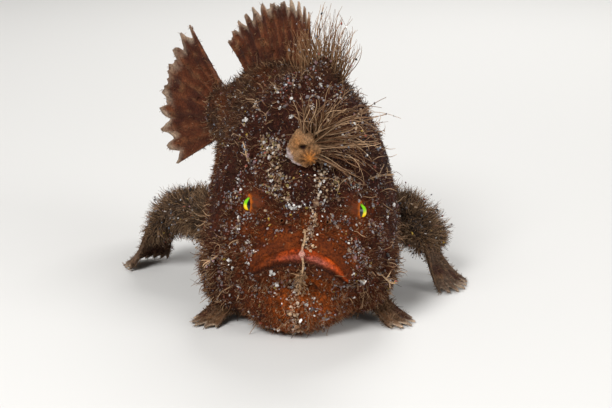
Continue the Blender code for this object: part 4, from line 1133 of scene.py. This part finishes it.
def anal_ray(share):
    y = ANAL_START_Y + share * (ANAL_END_Y - ANAL_START_Y)
    drop = math.radians(60 - 36 * share)
    length = ROOT_DEPTH + ANAL_HEIGHT * (0.78 + 0.22 * math.sin(math.pi * share))
    reach = (0, length * math.cos(drop), -length * math.sin(drop))
    return bent(np.array((0, y, section_height(y, 1) + ROOT_DEPTH)), reach, (0, 0, -0.4 * MM))


def tail_ray(share):
    angle = math.radians(9 + 40 * share)
    length = TAIL_FIN_LENGTH * (1 - 0.13 * share**2)
    reach = (0.8 * MM * math.sin(2.4 * share), length * math.cos(angle), length * math.sin(angle))
    return bent(np.array((0, TAIL_FIN_Y, TAIL_FIN_Z + share * TAIL_FIN_HALF_ROOT)), reach,
                (-0.8 * MM, 0, 0))


def hand(name, root_at, root_way, palm, heading, reach, spread, rays, thick):
    """A fin planted on the floor like a hand: its rays fan out to tips that lie on the floor."""

    def ray(share):
        root = np.array(root_at) + np.array(root_way) * MM * share
        turn = heading + share * spread / 2
        out = np.array((math.sin(turn), -math.cos(turn), 0))
        tip = np.array(palm) + out * reach * (1 - 0.10 * share**2)
        tip[2] = TIP_HEIGHT
        mid = root * 0.45 + tip * 0.55
        mid[2] = root[2] * 0.12 + 0.3 * MM
        return root, tip, mid

    return fin(name, rays, -1, ray, 0.16, thick, HAND_TIP_THICK)


def pectoral_hand(side, label):
    route = mirrored(ARM_ROUTE, side)
    wrist, before = route[-1], curved(route, 11)[-2]
    inward = (before - wrist) / np.linalg.norm(before - wrist)
    made = hand("hand_" + label, wrist + inward * ROOT_DEPTH, (0.15 * side, 3.1, 0),
                wrist + np.array((side * 0.4, -0.6, 0)) * MM, side * math.radians(90),
                HAND_REACH[label], side * math.radians(150), PECTORAL_RAYS, 1.2 * MM)
    at_shoulder(made[0], side, label)
    return made


def pelvic_hand(side, label):
    route = leg_route(side, label)
    ankle, path = route[-1], curved(route, 9)
    return hand("foot_" + label, ankle - (path[-1] - path[-3]) * 0.8, (1.05, 0.92 * side, 0),
                ankle + np.array((side * 0.6, -0.6, 0)) * MM, side * math.radians(50),
                4.6 * MM, math.radians(96), PELVIC_RAYS, 1.3 * MM)


def fin_cover(made, web, ray, seed):
    """A fin's markings: rays, web, blotches and a pale edge."""
    obj, rays, out = made
    cover = Cover(obj)
    co = cover.co
    frayed = out + 0.10 * noise(co, 1.3 * MM, seed + 3)
    colour = painted(
        plain(web, len(co)),
        (ray, rays * 0.8),
        (MAROON, ramp(noise(co, 2.2 * MM, seed), -0.05, 0.4) * 0.75),
        (TAN, ramp(noise(co, 1.1 * MM, seed + 2), 0.35, 0.25) * 0.35),
        (PALE, ramp(frayed, 0.84, 0.2) * 0.55),
    )
    colour = np.clip(colour * varied(0.30 * noise(co, 0.8 * MM, seed + 1)), 0.005, 0.9)
    cover.fields = {"mark": colour, "out": out, "rays": rays, "pale": np.ones(len(co))}
    set_attribute(obj, "mark", colour)
    return cover


def spine_bulb():
    """The swollen, wrinkled end of the second dorsal spine."""
    centre = Vector(BULB_AT)
    radii = [r * f for r, f in zip(BULB_RADII, (0.84, 0.80, 0.86))]
    lobes = [ellipsoid("bulb", BULB_AT, radii, Matrix.Rotation(math.radians(14), 4, "Y"))]
    for angle in range(70, 300, 23):
        a = math.radians(angle)
        radius = (0.78 + 0.16 * math.sin(angle * 1.7)) * MM
        place = Vector((2.15 * math.cos(a), -0.25, 2.45 * math.sin(a))) * MM
        lobes.append(ellipsoid("lobe", centre + place, (radius,) * 3, detail=3))
    for *place, radius in BULB_LOBES:
        lobes.append(ellipsoid("lobe", centre + Vector(place) * MM, (radius * MM,) * 3, detail=3))
    bulb = melted(joined("spine_bulb", lobes), BULB_VOXEL, BULB_SMOOTHING)
    co, normals = coordinates(bulb), normals_of(bulb)
    x, y, z = ((co - np.array(BULB_AT)) / MM).T
    front = ramp(-y, 0.2, 0.8)
    out = np.hypot(x - 0.8, z + 1.2)
    petals = np.sin(9 * np.arctan2(z + 1.2, x - 0.8) + 1.5 * out)
    petals = petals * bell(out, 1.0, 0.55) * 0.10 * front
    pit = bell(np.hypot(x + 0.35, (z - 0.25) * 1.5), 0, 0.55) * 0.55 * front
    combed = 0.07 * np.sin(8.5 * x - 3.5 * z + 1.5 * noise(co, 1.2 * MM, 33)) * ramp(x, -0.6, 1.2)
    rows = petals + combed - pit + 0.06 * noise(co, 0.55 * MM, 31)
    set_coordinates(bulb, posed(co + normals * (rows * MM)[:, None]))
    bulb.data.shade_smooth()
    colour = painted(
        plain(SPINE_TAN, len(co)) * varied(0.30 * noise(co, 0.7 * MM, 32)),
        (OCHRE, bell(x, -1.4, 0.9) * bell(z, 1.0, 1.1) * front * 0.8),
        (LILAC_WHITE, ramp(-x * 0.72 - z * 0.69 - 0.5 * noise(co, 0.9 * MM, 34), 1.95, 0.6) * 0.62),
        (SPINE_ORANGE, bell(out, 0.2, 1.0) * front * 0.9),
        # Painted shade in the grooves between the petals
        (UMBER, ramp(-petals, 0, 0.06) * 0.7),
        # Painted shade in the pit
        (SHADE, pit * 2.4),
    )
    set_attribute(bulb, "mark", np.clip(colour, 0.005, 0.9))
    return bulb


def second_spine():
    """The bulb of the second dorsal spine, the threads that fan out of it, and grains on them."""
    bulb = spine_bulb()
    rng = np.random.default_rng(SEED + 2)
    count = SPINE_2_THREADS
    share = (np.arange(count) + rng.uniform(0, 1, count)) / count
    angle = np.radians(122 - 148 * share + rng.normal(0, 7, count))
    length = (6.6 + 8.0 * ramp(share, 0.18, 0.5) * rng.uniform(0.6, 1.0, count)) * MM
    length *= rng.uniform(0.60, 1.0, count) * (1 - 0.35 * ramp(share, 0.74, 0.26))
    way = np.column_stack([np.cos(angle), rng.uniform(-0.55, 0.10, count), np.sin(angle)])
    offset = np.column_stack([rng.uniform(-0.3, 1.9, count), rng.uniform(-1.3, 0.6, count),
                              1.9 * np.sin(angle) + rng.uniform(-0.9, 0.9, count)])
    droops = rng.random(count) < 0.18
    way[droops, 2] -= 0.55
    bows = np.column_stack([rng.normal(0, 0.6, count), rng.normal(-0.2, 0.45, count),
                            rng.normal(0.5, 0.75, count)]) * MM
    bows[droops] += np.array((1.0, 0, 1.6)) * MM
    colours = thread_tones(count, rng)
    maps = np.column_stack([0.08 + 0.84 * share, rng.uniform(0.1, 0.9, count)])
    threads = bend(strands("spine_threads", np.array(BULB_AT) + offset * MM, way, length,
                           rng.uniform(0.12, 0.22, count) * MM, bows, colours, maps,
                           SPINE_2_THREAD, 0.075, 0.62, rng))
    return bulb, threads, beads_on(threads, SPINE_2_THREAD, SPINE_2_BEADS, rng)


def third_spine():
    """The tuft of fine threads that crowns the third dorsal spine, and grains on them."""
    rng = np.random.default_rng(SEED + 3)
    count = SPINE_3_THREADS
    turn = GOLDEN_ANGLE * np.arange(count)
    out = np.sqrt((np.arange(count) + 0.5) / count)
    spread = np.column_stack([np.cos(turn) * out, np.sin(turn) * out, np.zeros(count)])
    roots = np.array(SPINE_3_ROUTE[-1]) * MM + spread * np.array((3.3, 2.3, 0)) * MM
    roots[:, 2] += (-2.4 * out**1.5 - 0.8 + rng.uniform(-1.0, 0.4, count)) * MM
    way = np.array((0, 0.05, 1)) + spread * np.array((0.42, 0.34, 0))
    way = way + rng.normal(0, 0.07, (count, 3))
    length = (11.0 - 4.0 * out**2) * MM * rng.uniform(0.50, 1.0, count)
    bows = rng.normal(0, 0.55, (count, 3)) * MM
    colours = mixed(thread_tones(count, rng), TAN, rng.random(count) * 0.6)
    threads = bend(strands("crown_threads", roots, way, length, rng.uniform(0.10, 0.18, count) * MM,
                           bows, colours, 0.5 + spread[:, :2] * 0.45, SPINE_3_THREAD, 0.085, 0.62,
                           rng))
    return threads, beads_on(threads, SPINE_3_THREAD, SPINE_3_BEADS, rng)


def lure(surface):
    """The first dorsal spine: a pale knotted thread over the mouth, with its feathery bait."""
    rng = np.random.default_rng(SEED + 4)
    route = []
    heights = np.linspace(LURE_ROOT_Z, LURE_END_Z, len(LURE_CLEARANCES))
    for k, (z, clearance) in enumerate(zip(heights, LURE_CLEARANCES)):
        x = posed([(0, FACE_Y, z)])[0][0]
        place, _ = surface.front(x, z)
        route.append((x + 0.18 * MM * math.sin(k * 1.3), place.y - clearance * MM, z))
    clear = np.array(route)
    clear[1:-1, 1] = np.minimum(clear[1:-1, 1], (clear[:-2, 1] + clear[2:, 1]) / 2 + 0.2 * MM)
    path = curved(clear, LURE_RINGS)
    share = np.linspace(0, 1, LURE_RINGS)
    widths = (0.20 - 0.04 * share + 0.03 * np.sin(share * 61)) * MM
    rod = tube("lure_rod", path, widths + bell(share, KNOT_AT, 0.035) * 0.36 * MM, LURE_SIDES)
    rod.data.shade_smooth()
    along = loft_shares(LURE_RINGS, LURE_SIDES)
    colour = painted(plain(BEIGE, len(along)), (LURE_PINK, bell(along, KNOT_AT, 0.06)),
                     (OCHRE, ramp(along, 0.8, 0.2) * 0.5))
    set_attribute(rod, "mark", colour)
    count = BAIT_THREADS
    at = rng.uniform(0.62, 1.0, count)
    way = rng.normal(0, 1, (count, 3)) * (0.9, 0.35, 0.8) + (-0.15, -0.25, -0.55)
    roots = path[(at * (len(path) - 1)).astype(int)]
    roots = roots + rng.normal(0, 1, (count, 3)) * (0.38, 0.10, 0.30) * MM
    colours = mixed(plain(TAN, count), BEIGE, rng.random(count) * 0.9)
    colours = colours * rng.uniform(0.35, 1.25, (count, 1))
    maps = 0.5 + rng.uniform(-0.4, 0.4, (count, 2))
    bait = strands("lure_bait", roots, way, rng.uniform(0.4, 1.25, count) * MM,
                   rng.uniform(0.13, 0.22, count) * MM, rng.normal(0, 0.2, (count, 3)) * MM,
                   colours, maps, BAIT_THREAD, 0.08, 0.6, rng)
    return rod, bait


def eyeball(side, label, centre, axis):
    """A bulging eyeball that looks outwards along axis, with its iris and pupil, and shade painted
    at the back of its rim, inside the lid.
    """
    ball = ellipsoid("eyeball_" + label, centre, (EYE_RADIUS,) * 3, detail=5)
    co = coordinates(ball)
    normals = (co - np.array(centre)) / EYE_RADIUS
    bulge = ramp(normals @ np.array(axis), 0.80, 0.2) * 0.10
    set_coordinates(ball, co + normals * (bulge * EYE_RADIUS)[:, None])
    ball.data.shade_smooth()
    forward = np.cross(axis, (0, 0, 1)) * side
    forward /= np.linalg.norm(forward)
    ahead, above = normals @ forward, normals @ (np.cross(forward, axis) * side)
    veins = noise(co, 0.22 * MM, 44)
    spokes = np.sin(np.arctan2(above, ahead - 0.6) * 34) * 0.5 + 0.5
    radius = np.sqrt(ahead**2 + above**2)
    lead = ahead / np.sqrt(1 - np.minimum(above**2, 0.9)) + 0.16 * above
    pupil = np.sqrt(((lead - 0.76) / 0.35) ** 2 + ((above - 0.18) / 1.10) ** 2)
    iris = mixed(plain(IRIS_YELLOW, len(co)), IRIS_GREEN, ramp(above + 0.16 * veins, -0.22, 0.46))
    set_attribute(ball, "mark", painted(
        iris * varied(0.16 * veins),
        (LID_ORANGE, ramp(np.hypot(above, ahead - 0.6), 0.70, 0.4) * spokes * 0.8),
        # Painted shade: a dark ring at the back of the eyeball, just inside the lid
        (SHADE, ramp(radius, 0.60, 0.16) * ramp(-ahead, -0.3, 0.2) * 0.9),
        (PUPIL_BLACK, fade(pupil, 0.86, 0.18)),
    ))
    return ball


def eyelid(side, label, centre, axis):
    """The fleshy rim round an eye: a closed sheet of skin with a little thickness."""
    turn = axis.to_track_quat("Z", "Y").to_matrix()
    rings = []
    for out, radius in curved(LID_PROFILE, LID_RINGS):
        ring = []
        for a in circle(LID_SIDES):
            crinkle = 0.05 * math.sin(11 * a + side) + 0.03 * math.sin(23 * a)
            wide = radius + crinkle * ramp(radius, 1.2, 0.5)
            ring.append(centre + turn @ Vector((math.cos(a) * wide, math.sin(a) * wide, out)) * MM)
        rings.append(ring)
    inner = [[p + (Vector(np.mean(ring, axis=0)) - p) * LID_THICKNESS for p in ring]
             for ring in rings]
    points = [p for ring in rings + inner[::-1] for p in ring]
    faces = quads(2 * LID_RINGS, LID_SIDES, closed_rows=True)
    lid = face_out(new_object("eyelid_" + label, points, faces))
    lid.data.shade_smooth()
    co = coordinates(lid)
    set_coordinates(lid, co + normals_of(lid) * (noise(co, 0.6 * MM, 42) * 0.06 * MM)[:, None])
    from_centre = (co - np.array(centre)) / MM
    far = np.linalg.norm(from_centre - np.outer(from_centre @ np.array(axis), axis), axis=1)
    colour = painted(
        plain(LID_ORANGE, len(co)) * varied(0.35 * noise(co, 0.5 * MM, 41)),
        (RUST, ramp(far, 1.55, 0.40) * 0.92),
        (UMBER, ramp(noise(co, 0.5 * MM, 43), 0.2, 0.3) * ramp(far, 1.6, 0.3) * 0.6),
    )
    set_attribute(lid, "mark", np.clip(colour, 0.005, 0.9))
    return lid


def node_material(name, roughness, bump, bump_size, mottle_and_shade, coat=0.0, subsurface=0.0,
                  specular=0.08, tips=None, painted_glow=0.0):
    """A material in the piece's own markings, with mottling and bump of the sizes given, shade
    painted into the bump's crevices and light onto its cells, and an optional painted glow.
    """
    material = bpy.data.materials.new(name)
    material.use_nodes = True
    nodes, links = material.node_tree.nodes, material.node_tree.links

    def feed(node, inputs):
        for key, value in inputs.items():
            if isinstance(value, bpy.types.NodeSocket):
                links.new(value, node.inputs[key])
            else:
                node.inputs[key].default_value = value

    def made(kind, inputs, **settings):
        node = nodes.new("ShaderNode" + kind)
        for key, value in settings.items():
            setattr(node, key, value)
        feed(node, inputs)
        return node.outputs

    def field(attribute):
        return made("Attribute", {}, attribute_name=attribute)

    def ranged(value, to_min, to_max, from_min=0.0, from_max=1.0):
        return made("MapRange", {"Value": value, "From Min": from_min, "From Max": from_max,
                                 "To Min": to_min, "To Max": to_max})["Result"]

    def scaled(vector, by):
        return made("VectorMath", {0: vector, "Scale": by}, operation="SCALE")["Vector"]

    place = made("TexCoord", {})["Object"]
    mottle = made("TexNoise", {"Vector": place, "Scale": 1 / (0.42 * MM), "Detail": 5,
                               "Roughness": 0.68})["Fac"]
    shade = ranged(mottle, 1 - mottle_and_shade, 1 + mottle_and_shade, 0.34, 0.66)
    colour = scaled(field("mark")["Vector"], shade)
    finish = {
        "Roughness": ranged(mottle, max(roughness - 0.14, 0.02), min(roughness + 0.14, 1)),
        "Metallic": 0.0,
        "Specular IOR Level": specular,
        "Coat Weight": coat,
        "Coat Roughness": 0.04,
        "Subsurface Weight": subsurface,
        "Subsurface Scale": 0.6 * MM,
    }
    if bump:
        cells = made("TexVoronoi", {"Vector": place, "Scale": 1 / bump_size})["Distance"]
        grit = made("TexNoise", {"Vector": place, "Scale": 2.4 / bump_size, "Detail": 5})["Fac"]
        height = made("Math", {0: grit, 1: cells}, operation="SUBTRACT")["Value"]
        finish["Normal"] = made("Bump", {"Height": height, "Strength": bump,
                                         "Distance": 0.12 * MM})["Normal"]
        # Painted shade and light: darker in the crevices between the bump's cells, lighter on the
        # cells, except on bare skin
        crevice_shade = ranged(cells, 1.25, 1.25 - 1.1 * mottle_and_shade, 0.25, 0.70)
        colour = scaled(colour, ranged(field("bare")["Fac"], crevice_shade, 1.0))
    if tips:
        colour = scaled(colour, ranged(field("along")["Fac"], *tips))
    # Painted light: the piece gives off its own colour, glowing though it is no lamp
    if painted_glow:
        finish |= {"Emission Color": colour, "Emission Strength": painted_glow}
    feed(nodes["Principled BSDF"], finish | {"Base Color": colour})
    return material


def dressed(obj, material, slot, *nodes):
    """Finishes a piece: its material, the nodes it stands for, and its ride. The slot argument is
    not used.
    """
    obj.data.materials.clear()
    obj.data.materials.append(material)
    if nodes:
        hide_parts(*nodes)
    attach(obj, "root")


def studio():
    """A pale floor, soft lights, and the camera where the photographer's was."""
    scene = bpy.context.scene
    scene.view_settings.view_transform = "Standard"
    floor = new_object("floor", [(-2, -2, 0), (2, -2, 0), (2, 2, 0), (-2, 2, 0)], [(0, 1, 2, 3)])
    material = bpy.data.materials.new("floor")
    material.use_nodes = True
    shader = material.node_tree.nodes["Principled BSDF"]
    shader.inputs["Base Color"].default_value = (0.72, 0.71, 0.69, 1)
    shader.inputs["Roughness"].default_value = 0.9
    floor.data.materials.append(material)
    scene.world = bpy.data.worlds.new("world")
    scene.world.use_nodes = True
    sky = scene.world.node_tree.nodes["Background"].inputs
    sky["Color"].default_value = (0.93, 0.92, 0.90, 1)
    sky["Strength"].default_value = 0.25
    for name, place, size, power in LIGHTS:
        data = bpy.data.lights.new(name, "AREA")
        data.shape = "DISK"
        data.size = size
        data.energy = power
        light = linked(name, data)
        light.location = place
        light.rotation_euler = (LIGHTS_AIM - Vector(place)).to_track_quat("-Z", "Y").to_euler()
    data = bpy.data.cameras.new("camera")
    data.lens = LENS
    data.clip_start = 1 * MM
    camera = scene.camera = linked("camera", data)
    back = Vector((0, -math.cos(ELEVATION), math.sin(ELEVATION)))
    camera.location = TARGET + back * DISTANCE
    camera.rotation_euler = (-back).to_track_quat("-Z", "Y").to_euler()


def zones(skin):
    """What decides where the coat grows: bare or not, off the belly's flat, lower cheeks, nape."""
    _, _, z, wide, _ = measures(skin.fields["straight"])
    off_belly = ramp(skin.co[:, 2], 0.3 * MM, 0.6 * MM)
    return 1 - skin.fields["bare"], off_belly, ramp(wide, 7, 4) * fade(z, 10, 8), ramp(z, 26, 8)


def grow_coat(skin, stuff, grain_stuff):
    """The fuzz of face, nape, flanks and arms: shortest on the face, longest on the arms."""
    s, arms, head = (skin.fields[name] for name in ("straight", "arms", "head"))
    x, y, z, wide, over = measures(s)
    grown, off_belly, lower_cheek, nape = zones(skin)
    chin = ramp(-over, 1.5, 2.0) * ramp(-wide, -9, 2) * ramp(-y, 16, 5)
    pelt = 0.60 + 0.34 * lower_cheek + 0.34 * nape + 0.50 * noise(s, 2.4 * MM, 51)
    pelt = pelt + 0.40 * ramp(y, -6, 8)
    wrist = fade(skin.co[:, 2] / MM, 3.5, 6)
    pelt += arms * (0.80 + 0.9 * noise(skin.co, 2.6 * MM, 53)) * (1 - 0.8 * wrist)
    skin.fields["pelt"] = pelt + 0.22 * chin
    skin.fields["pale"] = 0.7 + 1.6 * chin + 1.2 * lower_cheek * ramp(-y, 0, 10) + 0.8 * arms
    there = grown * np.clip(0.75 + 0.75 * noise(s, 1.5 * MM, 52), 0.08, 1.6) * off_belly
    front = ramp(-y, 17, 5) * fade(z, 27, 4) * head
    body, jaw, left = (1 - arms) * there, ramp(-z, -13, 3), ramp(x, -1, 2)

    def pelt_length(found):
        return np.clip(found["pelt"], 0.32, 2.3) * MM

    for name, count, weight, width, lift, seed, to_map, pale_share in (
        ("face", FUZZ_FACE, body * front * (1 - jaw), 0.095, 0.75, 61, head_map, 0.16),
        ("jaw", FUZZ_JAW, body * front * jaw, 0.095, 0.75, 60, head_map, 0.18),
        ("nape", FUZZ_NAPE, body * head * (1 - front), 0.100, 0.70, 62, head_map, 0.15),
        ("flank_left", FUZZ_FLANK, body * (1 - head) * left, 0.115, 0.55, 63, trunk_map, 0.16),
        ("flank_right", FUZZ_FLANK, body * (1 - head) * (1 - left), 0.115, 0.55, 64, trunk_map,
         0.16),
    ):
        dressed(fuzz("coat_" + name, skin, count, weight, pelt_length, width * MM, lift, seed,
                     to_map, pale_share), stuff, "skin")
    for side, label in SIDES:
        middle = posed([shoulder(side)])[0] + np.array((side * 8, -1, 1)) * MM
        coat = fuzz("coat_arm_" + label, skin, FUZZ_ARM, skin.fields["arm_" + label] * there,
                    pelt_length, 0.12 * MM, 0.85, 66 + side,
                    lambda f: round_map(f["place"], middle, (side, 0, 0)), 0.30, ARM_HAIR)
        dressed(coat, stuff, "skin")
        rng = np.random.default_rng(SEED + 77 + side)
        dressed(beads_on(coat, ARM_HAIR, ARM_GRAINS, rng), grain_stuff, "skin")


def strew_warts(skin, surface, stuff, thread_stuff):
    """The pale grains of the skin, thickest on the brows, the cheeks and the midline."""
    s, head = skin.fields["straight"], skin.fields["head"]
    x, y, z, wide, over = measures(s)
    grown, off_belly, _, nape = zones(skin)
    front = ramp(-y, 15, 4) * head
    brow = bell(x, -6.0, 3.2) * bell(z, 26.5, 4.6) + 0.8 * bell(x, 6.5, 3.0) * bell(z, 24, 3.6)
    cheeks = bell(wide, 10.0, 3.4) * bell(z, 15, 6.5)
    chin = ramp(-over, 2.0, 1.5) * ramp(-wide, -8, 3)
    bridge = bell(x, 0.4, 4.0) * bell(z, 20.5, 3.0)
    clumps = ramp(noise(s, 1.7 * MM, 71), -0.16, 0.55)
    there = grown * off_belly * (0.10 + 1.3 * clumps**1.5)
    thick = 0.50 + 1.7 * brow + 2.8 * cheeks + 1.6 * bridge + 0.6 * nape + 0.9 * chin
    face = there * front * thick
    trail = bell(x + 0.30 * (z - 26), -5.6, 1.7) * bell(z, 26.3, 3.6)
    trail = trail + 0.5 * bell(x, 4.6, 1.2) * bell(z, 24.6, 1.2)
    trail = trail + 0.4 * bell(x, -8.6, 1.4) * bell(z, 31, 1.8)
    crest = bell(x, np.interp(z, (15, 27), (0.6, 2.2)), 0.75) * ramp(z, 15, 1.5) * fade(z, 28, 2)
    midline = bell(x, -0.2 + 0.4 * np.sin(z * 0.9), 1.15) * ramp(-over, 3.2, 1.5)
    midline = (crest * 1.5 + midline * 1.3) * front * off_belly
    for name, count, weight, *look in (
        ("face", GRAINS_FACE, face, 0.150, 72, head_map),
        ("nape", GRAINS_NAPE, there * head * (1 - front) * (0.6 + nape), 0.165, 73, head_map),
        ("back", GRAINS_BACK, there * (1 - head), 0.170, 74, trunk_map),
        ("brow", GRAINS_BROW, trail * front * (0.2 + clumps), 0.175, 76, head_map, OLIVE_GRAINS,
         0.6),
        ("crest", GRAINS_CREST, midline, 0.175, 75, head_map, BEIGE_GRAINS, 0.9),
    ):
        dressed(grains("warts_" + name, skin, count, weight, *look), stuff, "skin")
    dressed(large_warts(surface), stuff, "skin")
    threads, grit = tendrils(surface)
    dressed(forehead_threads(surface), thread_stuff, "skin")
    dressed(threads, thread_stuff, "skin")
    dressed(grit, stuff, "skin")


def set_papillae(skin, stuff):
    """Longer single threads, scattered over head and trunk."""
    x, _, z, wide, over = measures(skin.fields["straight"])
    head = skin.fields["head"]
    grown, off_belly, lower_cheek, nape = zones(skin)
    brow = bell(x, -6.0, 3.2) * bell(z, 26.5, 4.6) + 0.6 * bell(x, 5.0, 4.0) * bell(z, 23, 3.6)
    chin = ramp(-over, 2, 2) * ramp(-wide, -9, 2)
    on_head = head * (0.3 + 1.2 * nape + 1.7 * lower_cheek + 1.8 * brow + 0.5 * chin)
    rng = np.random.default_rng(SEED + 81)
    for name, count, share, to_map in (
        ("papillae_head", PAPILLAE_HEAD, on_head, head_map),
        ("papillae_back", PAPILLAE_BACK, 1 - head, trunk_map),
    ):
        found = skin.sample(count, grown * share * off_belly, rng)
        chance = rng.normal(0, 1, (count, 3))
        way = found["normal"] * 0.75 + flow_of(found) * 0.45 + chance * 0.45
        reach = (0.7 + 2.2 * rng.random(count) ** 1.6) * MM
        obj = strands(name, found["place"] - found["normal"] * 0.2 * MM, way, reach,
                      rng.uniform(0.09, 0.18, count) * MM, chance[:, ::-1] * 0.30 * MM,
                      thread_tones(count, rng) * 1.2, to_map(found), PAPILLA, 0.14, 0.66, rng)
        dressed(kept_off_floor(obj), stuff, "skin")


def set_fins(stuff, fuzz_stuff):
    """The fins in their markings, with fuzz that is thickest at their roots."""
    free = (
        (fin("dorsal_fin", DORSAL_RAYS, 0, dorsal_ray, 0.12, 1.3 * MM), "soft_dorsal_fin", 2),
        (fin("belly_fin", ANAL_RAYS, 0, anal_ray, 0.14, 1.2 * MM), "anal_fin", 1),
        (fin("tail_fin", TAIL_RAYS, -1, tail_ray, 0.10, 1.5 * MM), "caudal_fin", 2),
    )
    for made, _, _ in free:
        bend(made[0])
    fins = [(*row, FIN_RED, FIN_RAY) for row in free]
    for kind, make, hairs, web, ray in (("pectoral", pectoral_hand, 2, GREY_BROWN, HAND_RAY),
                                        ("pelvic", pelvic_hand, 1, BELLY, FOOT_RAY)):
        for side, label in SIDES:
            fins.append((make(side, label), f"{kind}_fin_{label}", hairs, web, ray))
    for made, node, hairs, web, ray in fins:
        obj = kept_off_floor(made[0])
        cover = fin_cover(made, web, ray, 91 + len(node))
        dressed(obj, stuff, "fins", node)
        middle = cover.co.mean(axis=0)
        shown = cover.normals.mean(axis=0) + np.array((0.01, 0, 0.02))
        weight = 0.3 + cover.fields["rays"] + 1.5 * fade(cover.fields["out"], 0, 0.6)
        coat = fuzz("coat_" + obj.name, cover, FUZZ_FIN * hairs, weight,
                    lambda f: (0.95 - 0.35 * f["out"]) * MM, 0.10 * MM, 0.7, 100 + len(node),
                    lambda f: round_map(f["place"], middle + shown * MM, shown), 0.22)
        dressed(coat, fuzz_stuff, "fins")


def set_pores(surface, stuff):
    """The tube nostrils on the snout and the gill openings behind the arms."""
    nostrils, gills = [], []
    for side, _ in SIDES:
        nostrils.append((*surface.on_face(side * NOSTRIL_X, NOSTRIL_Z), 0.42 * MM, 0.75 * MM))
        x, y, z = (n * MM for n in GILL_PORE)
        start, end = posed([(side * x, y, z), (side * (x - 60 * MM), y, z + 6 * MM)])
        gills.append((*surface.hit(start, end - start), 1.2 * MM, 0.7 * MM))
    dressed(pores("nostrils", nostrils), stuff, "skin")
    dressed(pores("gill_pores", gills), stuff, "skin")


def main():
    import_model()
    studio()

    skin_stuff = node_material("skin", 0.60, 1.0, 0.32 * MM, 0.62, subsurface=0.03)
    fin_stuff = node_material("fin_skin", 0.55, 0.6, 0.30 * MM, 0.35, subsurface=0.05)
    fuzz_stuff = node_material("fuzz", 0.65, 0, 0, 0.20, tips=(0.80, 1.35))
    grain_stuff = node_material("warts", 0.34, 0.3, 0.15 * MM, 0.25, specular=0.5)
    thread_stuff = node_material("threads", 0.50, 0.2, 0.12 * MM, 0.22, tips=(0.75, 1.40))
    bulb_stuff = node_material("spine_skin", 0.50, 0.8, 0.22 * MM, 0.42, subsurface=0.05)
    # The eye glows with painted light, an emission of its own colour that makes it gleam
    eye_stuff = node_material("eye", 0.16, 0, 0, 0.10, coat=0.25, specular=0.3, painted_glow=0.30)
    lid_stuff = node_material("eyelid", 0.45, 0.5, 0.2 * MM, 0.2)

    skin = build_skin()
    dressed(skin.obj, skin_stuff, "skin", "head", "lower_jaw", "torso", "tail", "pectoral_arm_left",
            "pectoral_arm_right")
    skin.obj.data.shade_smooth()
    surface = Surface(skin.obj)
    grow_coat(skin, fuzz_stuff, grain_stuff)
    strew_warts(skin, surface, grain_stuff, thread_stuff)
    set_papillae(skin, thread_stuff)
    set_pores(surface, skin_stuff)
    set_fins(fin_stuff, fuzz_stuff)

    bulb, threads, grit = second_spine()
    dressed(bulb, bulb_stuff, "spines", "second_dorsal_spine")
    dressed(threads, thread_stuff, "spines")
    dressed(grit, grain_stuff, "spines")
    threads, grit = third_spine()
    dressed(threads, thread_stuff, "spines", "third_dorsal_spine")
    dressed(grit, grain_stuff, "spines")
    rod, bait = lure(surface)
    dressed(rod, bulb_stuff, "spines", "illicium")
    dressed(bait, thread_stuff, "spines")
    for side, label in SIDES:
        low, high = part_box("eye_" + label)
        place = label, (low + high) / 2, Vector((side * EYE_AXIS[0], *EYE_AXIS[1:])).normalized()
        dressed(eyeball(side, *place), eye_stuff, "eyes", "eye_" + label)
        dressed(eyelid(side, *place), lid_stuff, "skin")


main()
